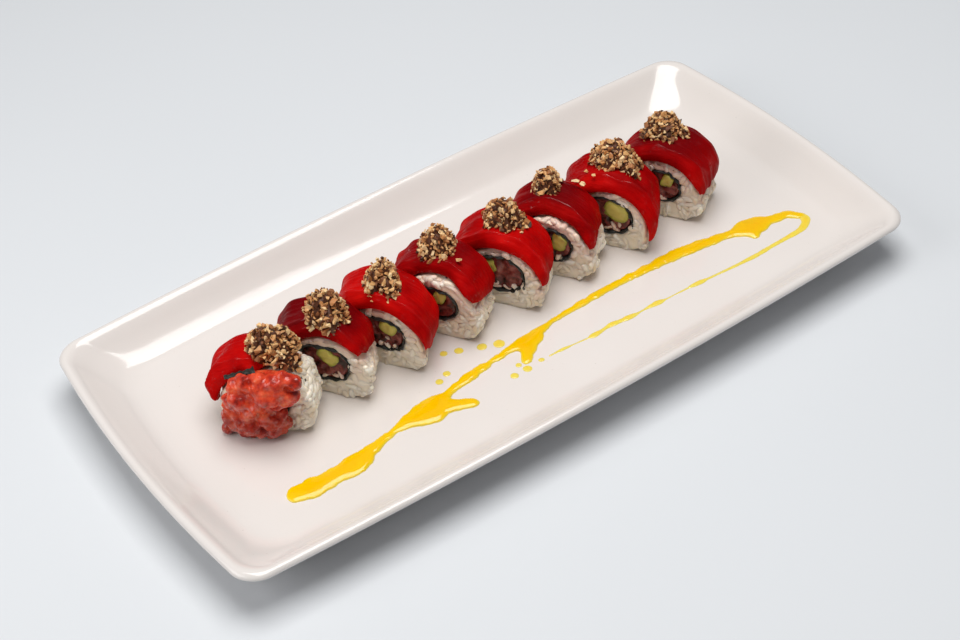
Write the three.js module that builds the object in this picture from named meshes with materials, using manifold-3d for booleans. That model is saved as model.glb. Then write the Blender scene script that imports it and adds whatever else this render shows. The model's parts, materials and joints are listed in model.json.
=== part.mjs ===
// Uramaki roll: eight pieces in a slanting row on a shallow rectangular plate.
// Each piece is a ring of rice round a nori sheet with avocado and tuna, under a draped slice of
// raw tuna with a heap of nut crumble. Chopped tuna is mounded against the first piece, and a
// line of thick yellow sauce runs along the plate in front of the row.
// Millimetres, +Z up. The origin is the middle of the plate's underside, +X is its length.

import * as THREE from 'three';
import { mergeVertices } from 'three/addons/utils/BufferGeometryUtils.js';
import Module from 'manifold-3d';

const wasm = await Module();
wasm.setup();

// Plate
const PLATE_LENGTH = 310;
const PLATE_WIDTH = 154;
const PLATE_HEIGHT = 20;
const LONG_SIDE_BOW = 3.3;
const SHORT_SIDE_BOW = 4.9;
const CORNER_RADIUS = 9;
const FLOOR_LEVEL = 8;
const WALL_INSET = 18;
const FOOT_INSET = 28;
const FOOT_WIDTH = 4;
const FOOT_RECESS = 3;

// Roll pieces
const RICE_HALF_WIDTH = 17.6;
const RICE_HEIGHT = 26.8;
const RICE_SWELL = 1.7;
const WAIST = 0.42;
const FRONT_CROWN_POWER = 2.05;
const BACK_CROWN_POWER = 1.65;
const SOLE_POWER = 3.2;
const GRAIN_BUMP = 1.1;
const EDGE_ROUND = 1.5;
const CORE_HALF_WIDTH = 10;
const CORE_HALF_HEIGHT = 7.8;
const CORE_LEVEL = 15.2;
const CORE_FORWARD = 0.2;
const CORE_POWER = 2.3;
const NORI_THICKNESS = 0.7;

// Draped tuna slices and nut crumble
const SLICE_THICKNESS = 6.2;
const SLICE_TIP_THICKNESS = 1.5;
const SLICE_TAPER = 0.75;
const SLICE_EDGE_ROUND = 1.4;
const SLICE_OVERHANG = 0.15;
const HEAP_HEIGHT = 7.4;
const CRUMB_SIZE = 3.8;
const CRUMBS_IN_HEAP = 7;

// Chopped tuna mound on the first piece: a ledge that rises towards the front flank over a foot,
// with the middle of each out from the cut, across and up
const MOUND_LEDGE = { middle: [-0.5, -2.2, 22.4], radii: [7.4, 15.4, 7.8], tilt: -20 };
const MOUND_FOOT = { middle: [-0.3, 1.2, 8.6], radii: [6.2, 11.6, 9], tilt: 0 };
const MOUND_CLEARANCE = 0.7;
const LUMP_RADIUS = 3.6;
const LUMPS_IN_ROW = 4;

// Sauce
const SAUCE_DEPTH = 1.3;
const SAUCE_SUNK = 0.8;

// Clearance between pieces that touch
const GAP = 0.3;
const SLICE_GAP = 0.6;

const SECTION_STEPS = 24;
const NORI_STEPS = 14;
const FILLING_STEPS = 12;
const AVOCADO_STEPS = 8;

// Each piece in the row: its middle on the plate, the turn of its cuts from the plate's width, its
// length, and its slant: how far it runs sideways for its length, as its cuts are not square.
// The avocado is given by its middle across and up, its half sizes and its tilt in degrees.
// The slice ends are degrees from the middle of the front flank, up over the crown, at the near and
// the far cut. The heap is along and across the piece.
const PIECES = [
  { x: -96.6, y: 3.5, turn: 43, length: 19.5, slant: 0.15, core: 1.05,
    avocado: { across: -3, up: 18.5, half: [3.8, 3.2], tilt: 30 },
    front: [92, 52], back: [186, 176], heap: { along: 0.4, across: -4.5, half: [8.6, 10.6] } },
  { x: -68.8, y: 6.3, turn: 35, length: 20, slant: 0.28, core: 1.08,
    avocado: { across: -2.1, up: 18.6, half: [4.4, 3.2], tilt: 40 },
    front: [36, 8], back: [180, 188], heap: { along: -0.9, across: -2.3, half: [8.8, 9.8] } },
  { x: -42.8, y: 6.5, turn: 31, length: 21.2, slant: 0.3, core: 1,
    avocado: { across: -3.4, up: 19, half: [3.6, 3.2], tilt: 25 },
    front: [-1, -26], back: [184, 178], heap: { along: -0.9, across: -1, half: [9.2, 8.2] } },
  { x: -16.9, y: 6.3, turn: 31, length: 21.2, slant: 0.13, core: 0.98,
    avocado: { across: -2.4, up: 18.8, half: [2.4, 3.2], tilt: 20 },
    front: [25, 0], back: [178, 190], heap: { along: 1.8, across: 1.4, half: [8.4, 8.4] } },
  { x: 11.6, y: 5.6, turn: 31, length: 21.5, slant: 0.22, core: 1.08,
    avocado: { across: 4, up: 18, half: [3.4, 3], tilt: -20 },
    front: [0, 3], back: [186, 182], heap: { along: 1.1, across: -0.8, half: [8.6, 10.2] } },
  { x: 37.2, y: 6.9, turn: 31, length: 21.5, slant: 0.15, core: 1,
    avocado: { across: -4.6, up: 17.6, half: [3.2, 4.6], tilt: 15 },
    front: [12, 20], back: [180, 176], heap: { along: 2.6, across: 3.4, half: [7.6, 6.8] } },
  { x: 65.4, y: 7.2, turn: 31, length: 22.3, slant: 0.2, core: 1.1,
    avocado: { across: -4.4, up: 18, half: [5.4, 4.2], tilt: 25 },
    front: [-18, 4], back: [176, 186], heap: { along: 1.4, across: -1.8, half: [8.6, 12] } },
  { x: 94, y: 7.4, turn: 31, length: 22.3, slant: 0, core: 1,
    avocado: { across: -4.2, up: 18.6, half: [2.4, 3.4], tilt: 20 },
    front: [6, 0], back: [184, 180], heap: { along: 1.8, across: 2, half: [8.6, 9.8] } },
];

// The sauce line on the plate floor, from its thick left end: x, y and width.
const SAUCE_LINE = [
  [-111.6, -38.4, 7], [-105, -39.4, 9.4], [-96, -39.4, 8], [-87, -39.2, 9.6], [-78, -36.6, 5.4],
  [-65, -33.6, 4], [-58, -33.2, 8], [-50, -33.8, 13], [-41.5, -30.4, 4], [-29, -27.8, 5],
  [-17, -26.2, 3.2], [-6.5, -25.4, 4.6], [0, -26.2, 8], [9.5, -23.2, 3.2], [30, -21.6, 3.8],
  [45, -21.2, 3.8], [60, -21.6, 4.6], [74.5, -22.2, 6.4], [88.5, -24.2, 5.6], [102, -26.8, 5.2],
  [108, -28, 11], [117.5, -29.6, 5], [124.5, -31.4, 4.6], [128.6, -35.4, 4],
];
const SAUCE_RUNS = [
  [[-48, -34.6, 7], [-42, -36.8, 6], [-36, -40.2, 5]],
  [[-1.5, -27.4, 6], [-4, -30.4, 4.6], [-7.2, -34, 4.4]],
  [[107.6, -29.6, 6], [106.4, -32.6, 5]],
];

const FINISHES = {
  glaze: { color: 0xe9e3df, roughness: 0.12, metalness: 0 },
  rice: { color: 0xe9e3d8, roughness: 0.55, metalness: 0 },
  nori: { color: 0x15170f, roughness: 0.5, metalness: 0 },
  avocado: { color: 0xb6ad4a, roughness: 0.45, metalness: 0 },
  filling: { color: 0x8f2a25, roughness: 0.4, metalness: 0 },
  tuna: { color: 0xa80c10, roughness: 0.25, metalness: 0 },
  crumble: { color: 0xa8743f, roughness: 0.6, metalness: 0 },
  choppedTuna: { color: 0xc7402f, roughness: 0.3, metalness: 0 },
};

// Repeatable random numbers from 0 to 1
function randomSource(seed) {
  let state = seed;
  return () => {
    state = (state * 1664525 + 1013904223) % 4294967296;
    return state / 4294967296;
  };
}

// Closed body through a stack of rings with equal counts. The ends are fans about their middles, or
// the last ring joins the first when the stack is endless.
function loft(rings, { endless = false } = {}) {
  const count = rings[0].length;
  const positions = rings.flat().flatMap((point) => point.toArray());
  const triangles = [];
  const spans = endless ? rings.length : rings.length - 1;
  for (let row = 0; row < spans; row += 1) {
    const here = row * count;
    const next = ((row + 1) % rings.length) * count;
    for (let side = 0; side < count; side += 1) {
      const after = (side + 1) % count;
      triangles.push(here + side, here + after, next + after);
      triangles.push(here + side, next + after, next + side);
    }
  }
  if (!endless) {
    const first = middleOf(rings[0]);
    const last = middleOf(rings[rings.length - 1]);
    positions.push(...first.toArray(), ...last.toArray());
    const firstMiddle = rings.length * count;
    const lastRow = (rings.length - 1) * count;
    for (let side = 0; side < count; side += 1) {
      const after = (side + 1) % count;
      triangles.push(firstMiddle, after, side);
      triangles.push(firstMiddle + 1, lastRow + side, lastRow + after);
    }
  }
  const geometry = new THREE.BufferGeometry();
  geometry.setAttribute('position', new THREE.Float32BufferAttribute(positions, 3));
  geometry.setIndex(triangles);
  return geometry;
}

function middleOf(points) {
  const middle = new THREE.Vector3();
  points.forEach((point) => middle.add(point));
  return middle.divideScalar(points.length);
}

// Boolean joins and cuts
function toSolid(geometry) {
  const bare = geometry.clone();
  bare.deleteAttribute('normal');
  bare.deleteAttribute('uv');
  const merged = mergeVertices(bare, 1e-4);
  const mesh = new wasm.Mesh({
    numProp: 3,
    vertProperties: new Float32Array(merged.attributes.position.array),
    triVerts: new Uint32Array(merged.index.array),
  });
  return new wasm.Manifold(mesh);
}

function toGeometry(solid) {
  const mesh = solid.getMesh();
  const geometry = new THREE.BufferGeometry();
  geometry.setAttribute('position', new THREE.Float32BufferAttribute(mesh.vertProperties, 3));
  geometry.setIndex(Array.from(mesh.triVerts));
  return geometry;
}

function fuse(geometries) {
  return geometries.map(toSolid).reduce((whole, next) => whole.add(next));
}

// Largest connected body of a solid, without loose scraps
function largestBody(solid) {
  const bodies = solid.decompose();
  return bodies.reduce((best, body) => (body.volume() > best.volume() ? body : best));
}

function named(name, geometry, finish) {
  geometry.computeVertexNormals();
  const mesh = new THREE.Mesh(geometry, new THREE.MeshStandardMaterial(FINISHES[finish]));
  mesh.name = name;
  return mesh;
}

// Plate: rings of a bowed rectangle with round corners, inset from the rim
function plateRing(inset, level, cornerRadius) {
  const halfLength = PLATE_LENGTH / 2 - SHORT_SIDE_BOW - inset;
  const halfWidth = PLATE_WIDTH / 2 - LONG_SIDE_BOW - inset;
  const outline = new THREE.Shape();
  const right = halfLength - cornerRadius;
  const top = halfWidth - cornerRadius;
  outline.absarc(right, top, cornerRadius, 0, Math.PI / 2, false);
  outline.absarc(-right, top, cornerRadius, Math.PI / 2, Math.PI, false);
  outline.absarc(-right, -top, cornerRadius, Math.PI, 1.5 * Math.PI, false);
  outline.absarc(right, -top, cornerRadius, 1.5 * Math.PI, 2 * Math.PI, false);
  const arcSteps = 5;
  const sideSteps = [5, 3, 5, 3];
  const ring = [];
  const arcs = outline.curves.filter((curve) => curve.isEllipseCurve);
  arcs.forEach((arc, corner) => {
    const points = arc.getPoints(arcSteps);
    const start = points[points.length - 1];
    const end = arcs[(corner + 1) % arcs.length].getPoint(0);
    for (let step = 1; step < sideSteps[corner]; step += 1) {
      points.push(start.clone().lerp(end, step / sideSteps[corner]));
    }
    ring.push(...points);
  });
  return ring.map(({ x, y }) => {
    const bowX = (x / halfLength) * SHORT_SIDE_BOW * (1 - (y / halfWidth) ** 2);
    const bowY = (y / halfWidth) * LONG_SIDE_BOW * (1 - (x / halfLength) ** 2);
    return new THREE.Vector3(x + bowX, y + bowY, level);
  });
}

// Plate profile from the recess under the foot, out round the lip and in to the floor:
// inset from the rim, level and corner radius.
function plateBody() {
  const profile = [
    [FOOT_INSET + FOOT_WIDTH + 1, FOOT_RECESS, 12],
    [FOOT_INSET + FOOT_WIDTH, 0, 12],
    [FOOT_INSET, 0, 14],
    [FOOT_INSET - 1.5, 2.4, 14],
    [15, 7.2, 13],
    [5.5, 13.2, 11],
    [1.3, 16.6, CORNER_RADIUS],
    [0, 18.3, CORNER_RADIUS],
    [0.5, PLATE_HEIGHT - 0.6, CORNER_RADIUS],
    [1.8, PLATE_HEIGHT, CORNER_RADIUS],
    [3.4, PLATE_HEIGHT - 0.5, CORNER_RADIUS],
    [5.4, PLATE_HEIGHT - 2.1, CORNER_RADIUS],
    [9, FLOOR_LEVEL + 6.4, 10],
    [12.8, FLOOR_LEVEL + 3.2, 11.5],
    [15.8, FLOOR_LEVEL + 1.2, 13],
    [WALL_INSET + 0.6, FLOOR_LEVEL + 0.3, 14],
    [WALL_INSET + 4, FLOOR_LEVEL, 14],
  ];
  return loft(profile.map(([inset, level, radius]) => plateRing(inset, level, radius)));
}

// Sauce: a low round-backed ribbon along a smooth line, sunk a little into the plate floor
function sauceRibbon(stations, steps) {
  const line = new THREE.CatmullRomCurve3(
    stations.map(([x, y, width]) => new THREE.Vector3(x, y, width)),
    false,
    'centripetal',
  );
  const rings = [];
  for (let step = 0; step <= steps; step += 1) {
    const share = step / steps;
    const station = line.getPoint(share);
    const ahead = line.getTangent(share).setZ(0).normalize();
    const half = station.z / 2;
    const depth = SAUCE_DEPTH * Math.min(1, 0.5 + station.z / 16);
    const section = [
      [-half, -SAUCE_SUNK],
      [half, -SAUCE_SUNK],
      [half, depth * 0.15],
      [half * 0.55, depth],
      [-half * 0.55, depth],
      [-half, depth * 0.15],
    ];
    rings.push(section.map(([across, up]) => new THREE.Vector3(
      station.x - ahead.y * across,
      station.y + ahead.x * across,
      FLOOR_LEVEL + up,
    )));
  }
  return loft(rings);
}

function plateWithSauce() {
  const runs = SAUCE_RUNS.map((stations) => sauceRibbon(stations, 4));
  return toGeometry(fuse([plateBody(), sauceRibbon(SAUCE_LINE, 36), ...runs]));
}

// Cross-section of a piece at an angle from the middle of its front flank, up over the crown
function sectionPoint(angle, halfWidth, height) {
  const cos = Math.cos(angle);
  const sin = Math.sin(angle);
  const crown = cos > 0 ? FRONT_CROWN_POWER : BACK_CROWN_POWER;
  const power = 2 / (sin >= 0 ? crown : SOLE_POWER);
  const reach = sin >= 0 ? height * (1 - WAIST) : height * WAIST;
  return {
    across: -halfWidth * Math.sign(cos) * Math.abs(cos) ** power,
    up: GAP + height * WAIST + Math.sign(sin) * reach * Math.abs(sin) ** power,
  };
}

// Outline of the core, nori and filling, shrunk by an inset
function corePoint(angle, scale, inset) {
  const cos = Math.cos(angle);
  const sin = Math.sin(angle);
  const power = 2 / CORE_POWER;
  return {
    across: -CORE_FORWARD - (CORE_HALF_WIDTH * scale - inset) * Math.sign(cos) * Math.abs(cos) ** power,
    up: CORE_LEVEL + (CORE_HALF_HEIGHT * scale - inset) * Math.sign(sin) * Math.abs(sin) ** power,
  };
}

function ringAt(steps, pointAt) {
  return Array.from({ length: steps }, (_, step) => pointAt((2 * Math.PI * step) / steps));
}

// Degrees at which the draped slice ends on the front and back flanks, at a place along the piece
function sliceEnds(piece, along) {
  const cut = along / piece.length + 0.5;
  return {
    front: THREE.MathUtils.lerp(piece.front[0], piece.front[1], cut),
    back: THREE.MathUtils.lerp(piece.back[0], piece.back[1], cut),
  };
}

// How far the bare rice stands out below the ends of the slice
function riceSwell(piece, along, angle) {
  const ends = sliceEnds(piece, along);
  const degrees = THREE.MathUtils.radToDeg(angle);
  const belowFront = ends.front - (degrees > 270 ? degrees - 360 : degrees);
  const belowBack = degrees > 270 ? 0 : degrees - ends.back;
  const below = Math.max(belowFront, belowBack);
  return RICE_SWELL * THREE.MathUtils.smoothstep(below, 6, 24);
}

// Rice: a ring with bumps the size of its grains on the skin and the cut faces
function riceBody(piece, random) {
  const half = piece.length / 2;
  const skinRows = 6;
  const skinRing = (along, inset) => ringAt(SECTION_STEPS, (angle) => {
    const drop = inset + GRAIN_BUMP * random() - riceSwell(piece, along, angle);
    const { across, up } = sectionPoint(angle, RICE_HALF_WIDTH - drop, RICE_HEIGHT);
    const sunk = angle < Math.PI ? drop * Math.sin(angle) : 0;
    return new THREE.Vector3(along, across, up - sunk);
  });
  const holeRing = (along) => ringAt(SECTION_STEPS, (angle) => {
    const { across, up } = corePoint(angle, piece.core, 0);
    return new THREE.Vector3(along, across, up);
  });
  const cutRing = (along) => ringAt(SECTION_STEPS, (angle) => {
    const outer = sectionPoint(angle, RICE_HALF_WIDTH, RICE_HEIGHT);
    const inner = corePoint(angle, piece.core, 0);
    const share = 0.4 + 0.2 * random();
    const dent = Math.sign(along) * GRAIN_BUMP * random();
    return new THREE.Vector3(
      along - dent,
      THREE.MathUtils.lerp(outer.across, inner.across, share),
      THREE.MathUtils.lerp(outer.up, inner.up, share),
    );
  });
  const rings = [];
  for (let row = 0; row < skinRows; row += 1) {
    const along = THREE.MathUtils.lerp(-half + EDGE_ROUND, half - EDGE_ROUND, row / (skinRows - 1));
    rings.push(skinRing(along, 0));
  }
  rings.push(skinRing(half, EDGE_ROUND), cutRing(half), holeRing(half));
  rings.push(holeRing(-half), cutRing(-half), skinRing(-half, EDGE_ROUND));
  return loft(rings.reverse(), { endless: true });
}

// Nori: a thin sheet rolled round the filling
function noriBody(piece) {
  const half = piece.length / 2 - GAP;
  const sheetRing = (along, inset) => ringAt(NORI_STEPS, (angle) => {
    const { across, up } = corePoint(angle, piece.core, inset);
    return new THREE.Vector3(along, across, up);
  });
  const outer = GAP;
  const inner = GAP + NORI_THICKNESS;
  const rings = [
    sheetRing(-half, outer),
    sheetRing(half, outer),
    sheetRing(half, inner),
    sheetRing(-half, inner),
  ];
  return loft(rings.reverse(), { endless: true });
}

// Filling: what the nori holds, run the piece's length, parted into the avocado and the tuna round it
function fillingParts(piece) {
  const half = piece.length / 2 - GAP;
  const inset = 2 * GAP + NORI_THICKNESS;
  const heldRing = (along) => ringAt(FILLING_STEPS, (angle) => {
    const { across, up } = corePoint(angle, piece.core, inset);
    return new THREE.Vector3(along, across, up);
  });
  const { across: middle, up: level, half: [wide, high], tilt } = piece.avocado;
  const lean = THREE.MathUtils.degToRad(tilt);
  const chunkRing = (along, grown) => ringAt(AVOCADO_STEPS, (angle) => {
    const out = -(wide + grown) * Math.cos(angle);
    const rise = (high + grown) * Math.sin(angle);
    const across = middle + out * Math.cos(lean) - rise * Math.sin(lean);
    return new THREE.Vector3(along, across, level + out * Math.sin(lean) + rise * Math.cos(lean));
  });
  const held = toSolid(loft([heldRing(half), heldRing(-half)]));
  const chunk = (grown) => toSolid(loft([chunkRing(2 * half, grown), chunkRing(-2 * half, grown)]));
  return {
    avocado: toGeometry(held.intersect(chunk(0))),
    tuna: toGeometry(largestBody(held.subtract(chunk(GAP)))),
  };
}

// Draped slice: a strip of tuna over the crown, thinner towards its two hanging ends
function sliceBody(piece) {
  const half = piece.length / 2 + SLICE_OVERHANG;
  const steps = 15;
  const pointAt = (share, along, lift) => {
    const ends = sliceEnds(piece, along);
    const angle = THREE.MathUtils.degToRad(THREE.MathUtils.lerp(ends.front, ends.back, share));
    const grown = SLICE_GAP + lift;
    const { across, up } = sectionPoint(angle, RICE_HALF_WIDTH + grown, RICE_HEIGHT + grown);
    return new THREE.Vector3(along, across, up);
  };
  const rings = [];
  for (let step = 0; step <= steps; step += 1) {
    const share = step / steps;
    const fullness = Math.sin(Math.PI * share) ** SLICE_TAPER;
    const thickness = THREE.MathUtils.lerp(SLICE_TIP_THICKNESS, SLICE_THICKNESS, fullness);
    const inset = half - SLICE_EDGE_ROUND;
    rings.push([
      pointAt(share, -inset, 0),
      pointAt(share, inset, 0),
      pointAt(share, half, thickness * 0.5),
      pointAt(share, inset, thickness * 0.94),
      pointAt(share, 0, thickness),
      pointAt(share, -inset, thickness * 0.94),
      pointAt(share, -half, thickness * 0.5),
    ]);
  }
  return loft(rings.reverse());
}

// Solid over which a heap rests: the draped slice's top with a little clearance
function heapSeat(piece) {
  const grown = SLICE_GAP + SLICE_THICKNESS + 1.5 * GAP;
  const seatRing = (along) => ringAt(SECTION_STEPS, (angle) => {
    const { across, up } = sectionPoint(angle, RICE_HALF_WIDTH + grown, RICE_HEIGHT + grown);
    return new THREE.Vector3(along, across, up);
  });
  return loft([seatRing(piece.length), seatRing(-piece.length)]);
}

function sliceTopLevel(across) {
  const halfWidth = RICE_HALF_WIDTH + SLICE_GAP + SLICE_THICKNESS;
  const crown = RICE_HEIGHT + SLICE_GAP + SLICE_THICKNESS;
  const power = across < 0 ? FRONT_CROWN_POWER : BACK_CROWN_POWER;
  const rise = Math.max(0, 1 - Math.abs(across / halfWidth) ** power) ** (1 / power);
  return GAP + crown * WAIST + crown * (1 - WAIST) * rise;
}

// A broken piece of nut or a lump of chopped tuna: a few-sided block, stretched and turned
function brokenBlock(block, centre, random) {
  block.scale(0.7 + 0.6 * random(), 0.7 + 0.5 * random(), 0.6 + 0.5 * random());
  block.rotateX(Math.PI * random());
  block.rotateY(Math.PI * random());
  block.rotateZ(Math.PI * random());
  return block.translate(centre.x, centre.y, centre.z);
}

// Nut crumble: a low dome with broken nuts fused on it in an even spiral
function crumbleBody(piece, random) {
  const { along, across, half } = piece.heap;
  const domeRows = [[0.86, -6], [0.86, 0], [0.62, 0.72], [0.25, 1]];
  const dome = domeRows.map(([reach, rise]) => ringAt(8, (angle) => {
    const x = along + half[0] * reach * Math.cos(angle);
    const y = across + half[1] * reach * Math.sin(angle);
    const lift = rise < 0 ? rise : HEAP_HEIGHT * rise;
    return new THREE.Vector3(x, y, sliceTopLevel(y) + lift);
  }));
  const goldenAngle = Math.PI * (3 - Math.sqrt(5));
  const blocks = [];
  for (let index = 0; index < CRUMBS_IN_HEAP; index += 1) {
    const reach = 0.8 * Math.sqrt((index + 0.5) / CRUMBS_IN_HEAP);
    const angle = index * goldenAngle + random();
    const y = across + half[1] * reach * Math.sin(angle);
    const lift = HEAP_HEIGHT * Math.cos(reach * 1.45) + 0.6 * random();
    const x = along + half[0] * reach * Math.cos(angle);
    const centre = new THREE.Vector3(x, y, sliceTopLevel(y) + lift);
    const size = CRUMB_SIZE * (0.8 + 0.5 * random());
    blocks.push(brokenBlock(new THREE.BoxGeometry(size, size, size), centre, random));
  }
  const heap = fuse([loft(dome), ...blocks]).subtract(toSolid(heapSeat(piece)));
  return toGeometry(largestBody(heap));
}

// Chopped tuna: a bulging upper ledge and a lower heap down to the plate, against the first cut
function choppedTunaBody(piece, random) {
  const face = -piece.length / 2 - MOUND_CLEARANCE;
  const bodies = [];
  [MOUND_LEDGE, MOUND_FOOT].forEach(({ middle, radii, tilt }) => {
    const place = new THREE.Matrix4().makeRotationX(THREE.MathUtils.degToRad(tilt));
    place.setPosition(face + middle[0], middle[1], middle[2]);
    const mound = new THREE.SphereGeometry(1, 9, 6);
    mound.scale(...radii);
    bodies.push(mound.applyMatrix4(place));
    for (let index = 0; index < 2 * LUMPS_IN_ROW; index += 1) {
      const turn = Math.PI * ((Math.floor(index / 2) + 0.3 + 0.4 * random()) / LUMPS_IN_ROW);
      const rise = (index % 2 ? 0.55 : -0.35) + 0.2 * random();
      const level = Math.sqrt(1 - rise * rise);
      const centre = new THREE.Vector3(
        -radii[0] * level * Math.sin(turn) * 0.8,
        radii[1] * level * Math.cos(turn) * 0.95,
        radii[2] * rise,
      ).applyMatrix4(place);
      const radius = LUMP_RADIUS * (0.8 + 0.4 * random());
      bodies.push(brokenBlock(new THREE.IcosahedronGeometry(radius, 0), centre, random));
    }
  });
  const behind = new THREE.BoxGeometry(100, 100, 100).translate(face + 50, 0, 0);
  const below = new THREE.BoxGeometry(100, 100, 100).translate(0, 0, GAP - 50);
  const mound = fuse(bodies).subtract(toSolid(behind)).subtract(toSolid(below));
  return toGeometry(largestBody(mound));
}

// One piece of the roll with its layers, standing on the plate floor
function rollPiece(piece, number) {
  const random = randomSource(number * 7919);
  const group = new THREE.Group();
  group.position.set(piece.x, piece.y, FLOOR_LEVEL);
  group.rotation.z = THREE.MathUtils.degToRad(piece.turn);
  const filling = fillingParts(piece);
  const slanted = new THREE.Matrix4().makeShear(piece.slant, 0, 0, 0, 0, 0);
  group.add(
    named(`rice_${number}`, riceBody(piece, random).applyMatrix4(slanted), 'rice'),
    named(`nori_${number}`, noriBody(piece).applyMatrix4(slanted), 'nori'),
    named(`avocado_${number}`, filling.avocado.applyMatrix4(slanted), 'avocado'),
    named(`tuna_filling_${number}`, filling.tuna.applyMatrix4(slanted), 'filling'),
    named(`tuna_slice_${number}`, sliceBody(piece).applyMatrix4(slanted), 'tuna'),
    named(`nut_crumble_${number}`, crumbleBody(piece, random).applyMatrix4(slanted), 'crumble'),
  );
  if (number === 1) {
    group.add(named('chopped_tuna', choppedTunaBody(piece, random), 'choppedTuna'));
  }
  return group;
}

const platter = new THREE.Group();
platter.add(named('plate', plateWithSauce(), 'glaze'));
PIECES.forEach((piece, index) => platter.add(rollPiece(piece, index + 1)));

export default platter;
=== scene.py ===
import json
import math

import bmesh
import bpy
import numpy as np
from mathutils import Matrix, Vector

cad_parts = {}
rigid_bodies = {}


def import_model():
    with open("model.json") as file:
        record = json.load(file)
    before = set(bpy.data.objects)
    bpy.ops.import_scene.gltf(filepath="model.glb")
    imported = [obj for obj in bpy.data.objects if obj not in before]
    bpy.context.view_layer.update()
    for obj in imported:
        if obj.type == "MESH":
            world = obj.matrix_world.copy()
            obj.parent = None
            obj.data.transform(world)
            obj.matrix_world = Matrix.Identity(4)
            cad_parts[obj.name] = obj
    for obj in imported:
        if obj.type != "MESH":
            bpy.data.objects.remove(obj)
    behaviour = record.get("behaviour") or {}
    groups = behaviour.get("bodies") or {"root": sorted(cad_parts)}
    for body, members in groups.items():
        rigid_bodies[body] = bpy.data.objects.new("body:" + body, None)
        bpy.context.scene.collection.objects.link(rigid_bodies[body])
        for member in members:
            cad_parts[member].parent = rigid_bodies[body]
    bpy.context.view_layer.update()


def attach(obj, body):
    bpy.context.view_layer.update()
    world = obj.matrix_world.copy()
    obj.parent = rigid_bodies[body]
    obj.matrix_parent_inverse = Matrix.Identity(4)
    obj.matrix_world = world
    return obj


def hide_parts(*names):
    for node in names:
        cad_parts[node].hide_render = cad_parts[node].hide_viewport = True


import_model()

# Plate: a shallow rectangular serving plate with bowed sides, round corners and a flat floor.
# White stoneware pressed in a mould and fired on its foot ring under a warm clear glaze.
MM = 0.001
PLATE_LENGTH = 310
PLATE_WIDTH = 154
LONG_SIDE_BOW = 3.3
SHORT_SIDE_BOW = 4.9
PLATE_FLOOR = 8
PLATE_ARC_STEPS = 14
PLATE_SIDE_STEPS = (44, 22, 44, 22)
PLATE_PROFILE = [
    (33, 3, 12), (32.2, 0.3, 12), (31.4, 0, 12), (28.6, 0, 14), (27.8, 0.4, 14), (26.5, 2.4, 14),
    (15, 7.2, 13), (5.5, 13.2, 11), (1.3, 16.6, 9), (0, 18.3, 9), (0.5, 19.4, 9), (1.8, 20, 9),
    (3.4, 19.5, 9), (5.4, 17.9, 9), (9, 14.4, 10), (12.8, 11.2, 11.5), (15.8, 9.2, 13),
    (18.6, 8.3, 14), (22, 8, 14),
]
GLAZE_COLOUR = (0.80, 0.755, 0.725, 1)
GLAZE_SHADE = (0.775, 0.725, 0.69, 1)
GLAZE_SPECK = (0.62, 0.57, 0.53, 1)


def smooth_path(stations, steps):
    """Points of a smooth curve through the stations, with that many steps between each two."""
    points = np.array(stations, float)
    padded = np.vstack([2 * points[0] - points[1], points, 2 * points[-1] - points[-2]])
    spans = []
    for a, b, c, d in zip(padded, padded[1:], padded[2:], padded[3:]):
        knots = [0.0]
        for one, other in ((a, b), (b, c), (c, d)):
            knots.append(knots[-1] + np.linalg.norm((other - one)[:2]) ** 0.5 + 1e-9)
        t0, t1, t2, t3 = knots
        t = np.linspace(t1, t2, steps, endpoint=False)[:, None]
        ab = (t1 - t) / (t1 - t0) * a + (t - t0) / (t1 - t0) * b
        bc = (t2 - t) / (t2 - t1) * b + (t - t1) / (t2 - t1) * c
        cd = (t3 - t) / (t3 - t2) * c + (t - t2) / (t3 - t2) * d
        abc = (t2 - t) / (t2 - t0) * ab + (t - t0) / (t2 - t0) * bc
        bcd = (t3 - t) / (t3 - t1) * bc + (t - t1) / (t3 - t1) * cd
        spans.append((t2 - t) / (t2 - t1) * abc + (t - t1) / (t2 - t1) * bcd)
    return np.vstack(spans + [points[-1:]])


def loft_faces(rows, count, endless=False, flipped=False):
    """Quads between rings of equal counts, with each open end closed by one face, or all turned over."""
    faces = []
    for row in range(rows if endless else rows - 1):
        here = row * count
        after_row = ((row + 1) % rows) * count
        for side in range(count):
            after = (side + 1) % count
            faces.append((here + side, here + after, after_row + after, after_row + side))
    if not endless:
        faces.append(tuple(reversed(range(count))))
        faces.append(tuple(range((rows - 1) * count, rows * count)))
    return [face[::-1] for face in faces] if flipped else faces


def set_field(mesh, field, values):
    layer = mesh.attributes.new(field, "FLOAT", "POINT")
    layer.data.foreach_set("value", np.asarray(values, np.float32))


def make_piece(name, points, faces, smooth=True, **fields):
    """A mesh object at the origin from points in millimetres, with a float on each vertex per field."""
    mesh = bpy.data.meshes.new(name)
    mesh.from_pydata((np.asarray(points, float) * MM).tolist(), [], faces)
    for field, values in fields.items():
        set_field(mesh, field, values)
    mesh.polygons.foreach_set("use_smooth", [smooth] * len(mesh.polygons))
    mesh.update()
    piece = bpy.data.objects.new(name, mesh)
    bpy.context.scene.collection.objects.link(piece)
    return piece


def new_finish(name, **sockets):
    """A node material whose shader has these constant sockets. Returns it with its tree and shader."""
    material = bpy.data.materials.new(name)
    material.use_nodes = True
    shader = material.node_tree.nodes["Principled BSDF"]
    for socket, value in sockets.items():
        shader.inputs[socket.replace("_", " ")].default_value = value
    return material, material.node_tree, shader


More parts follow.
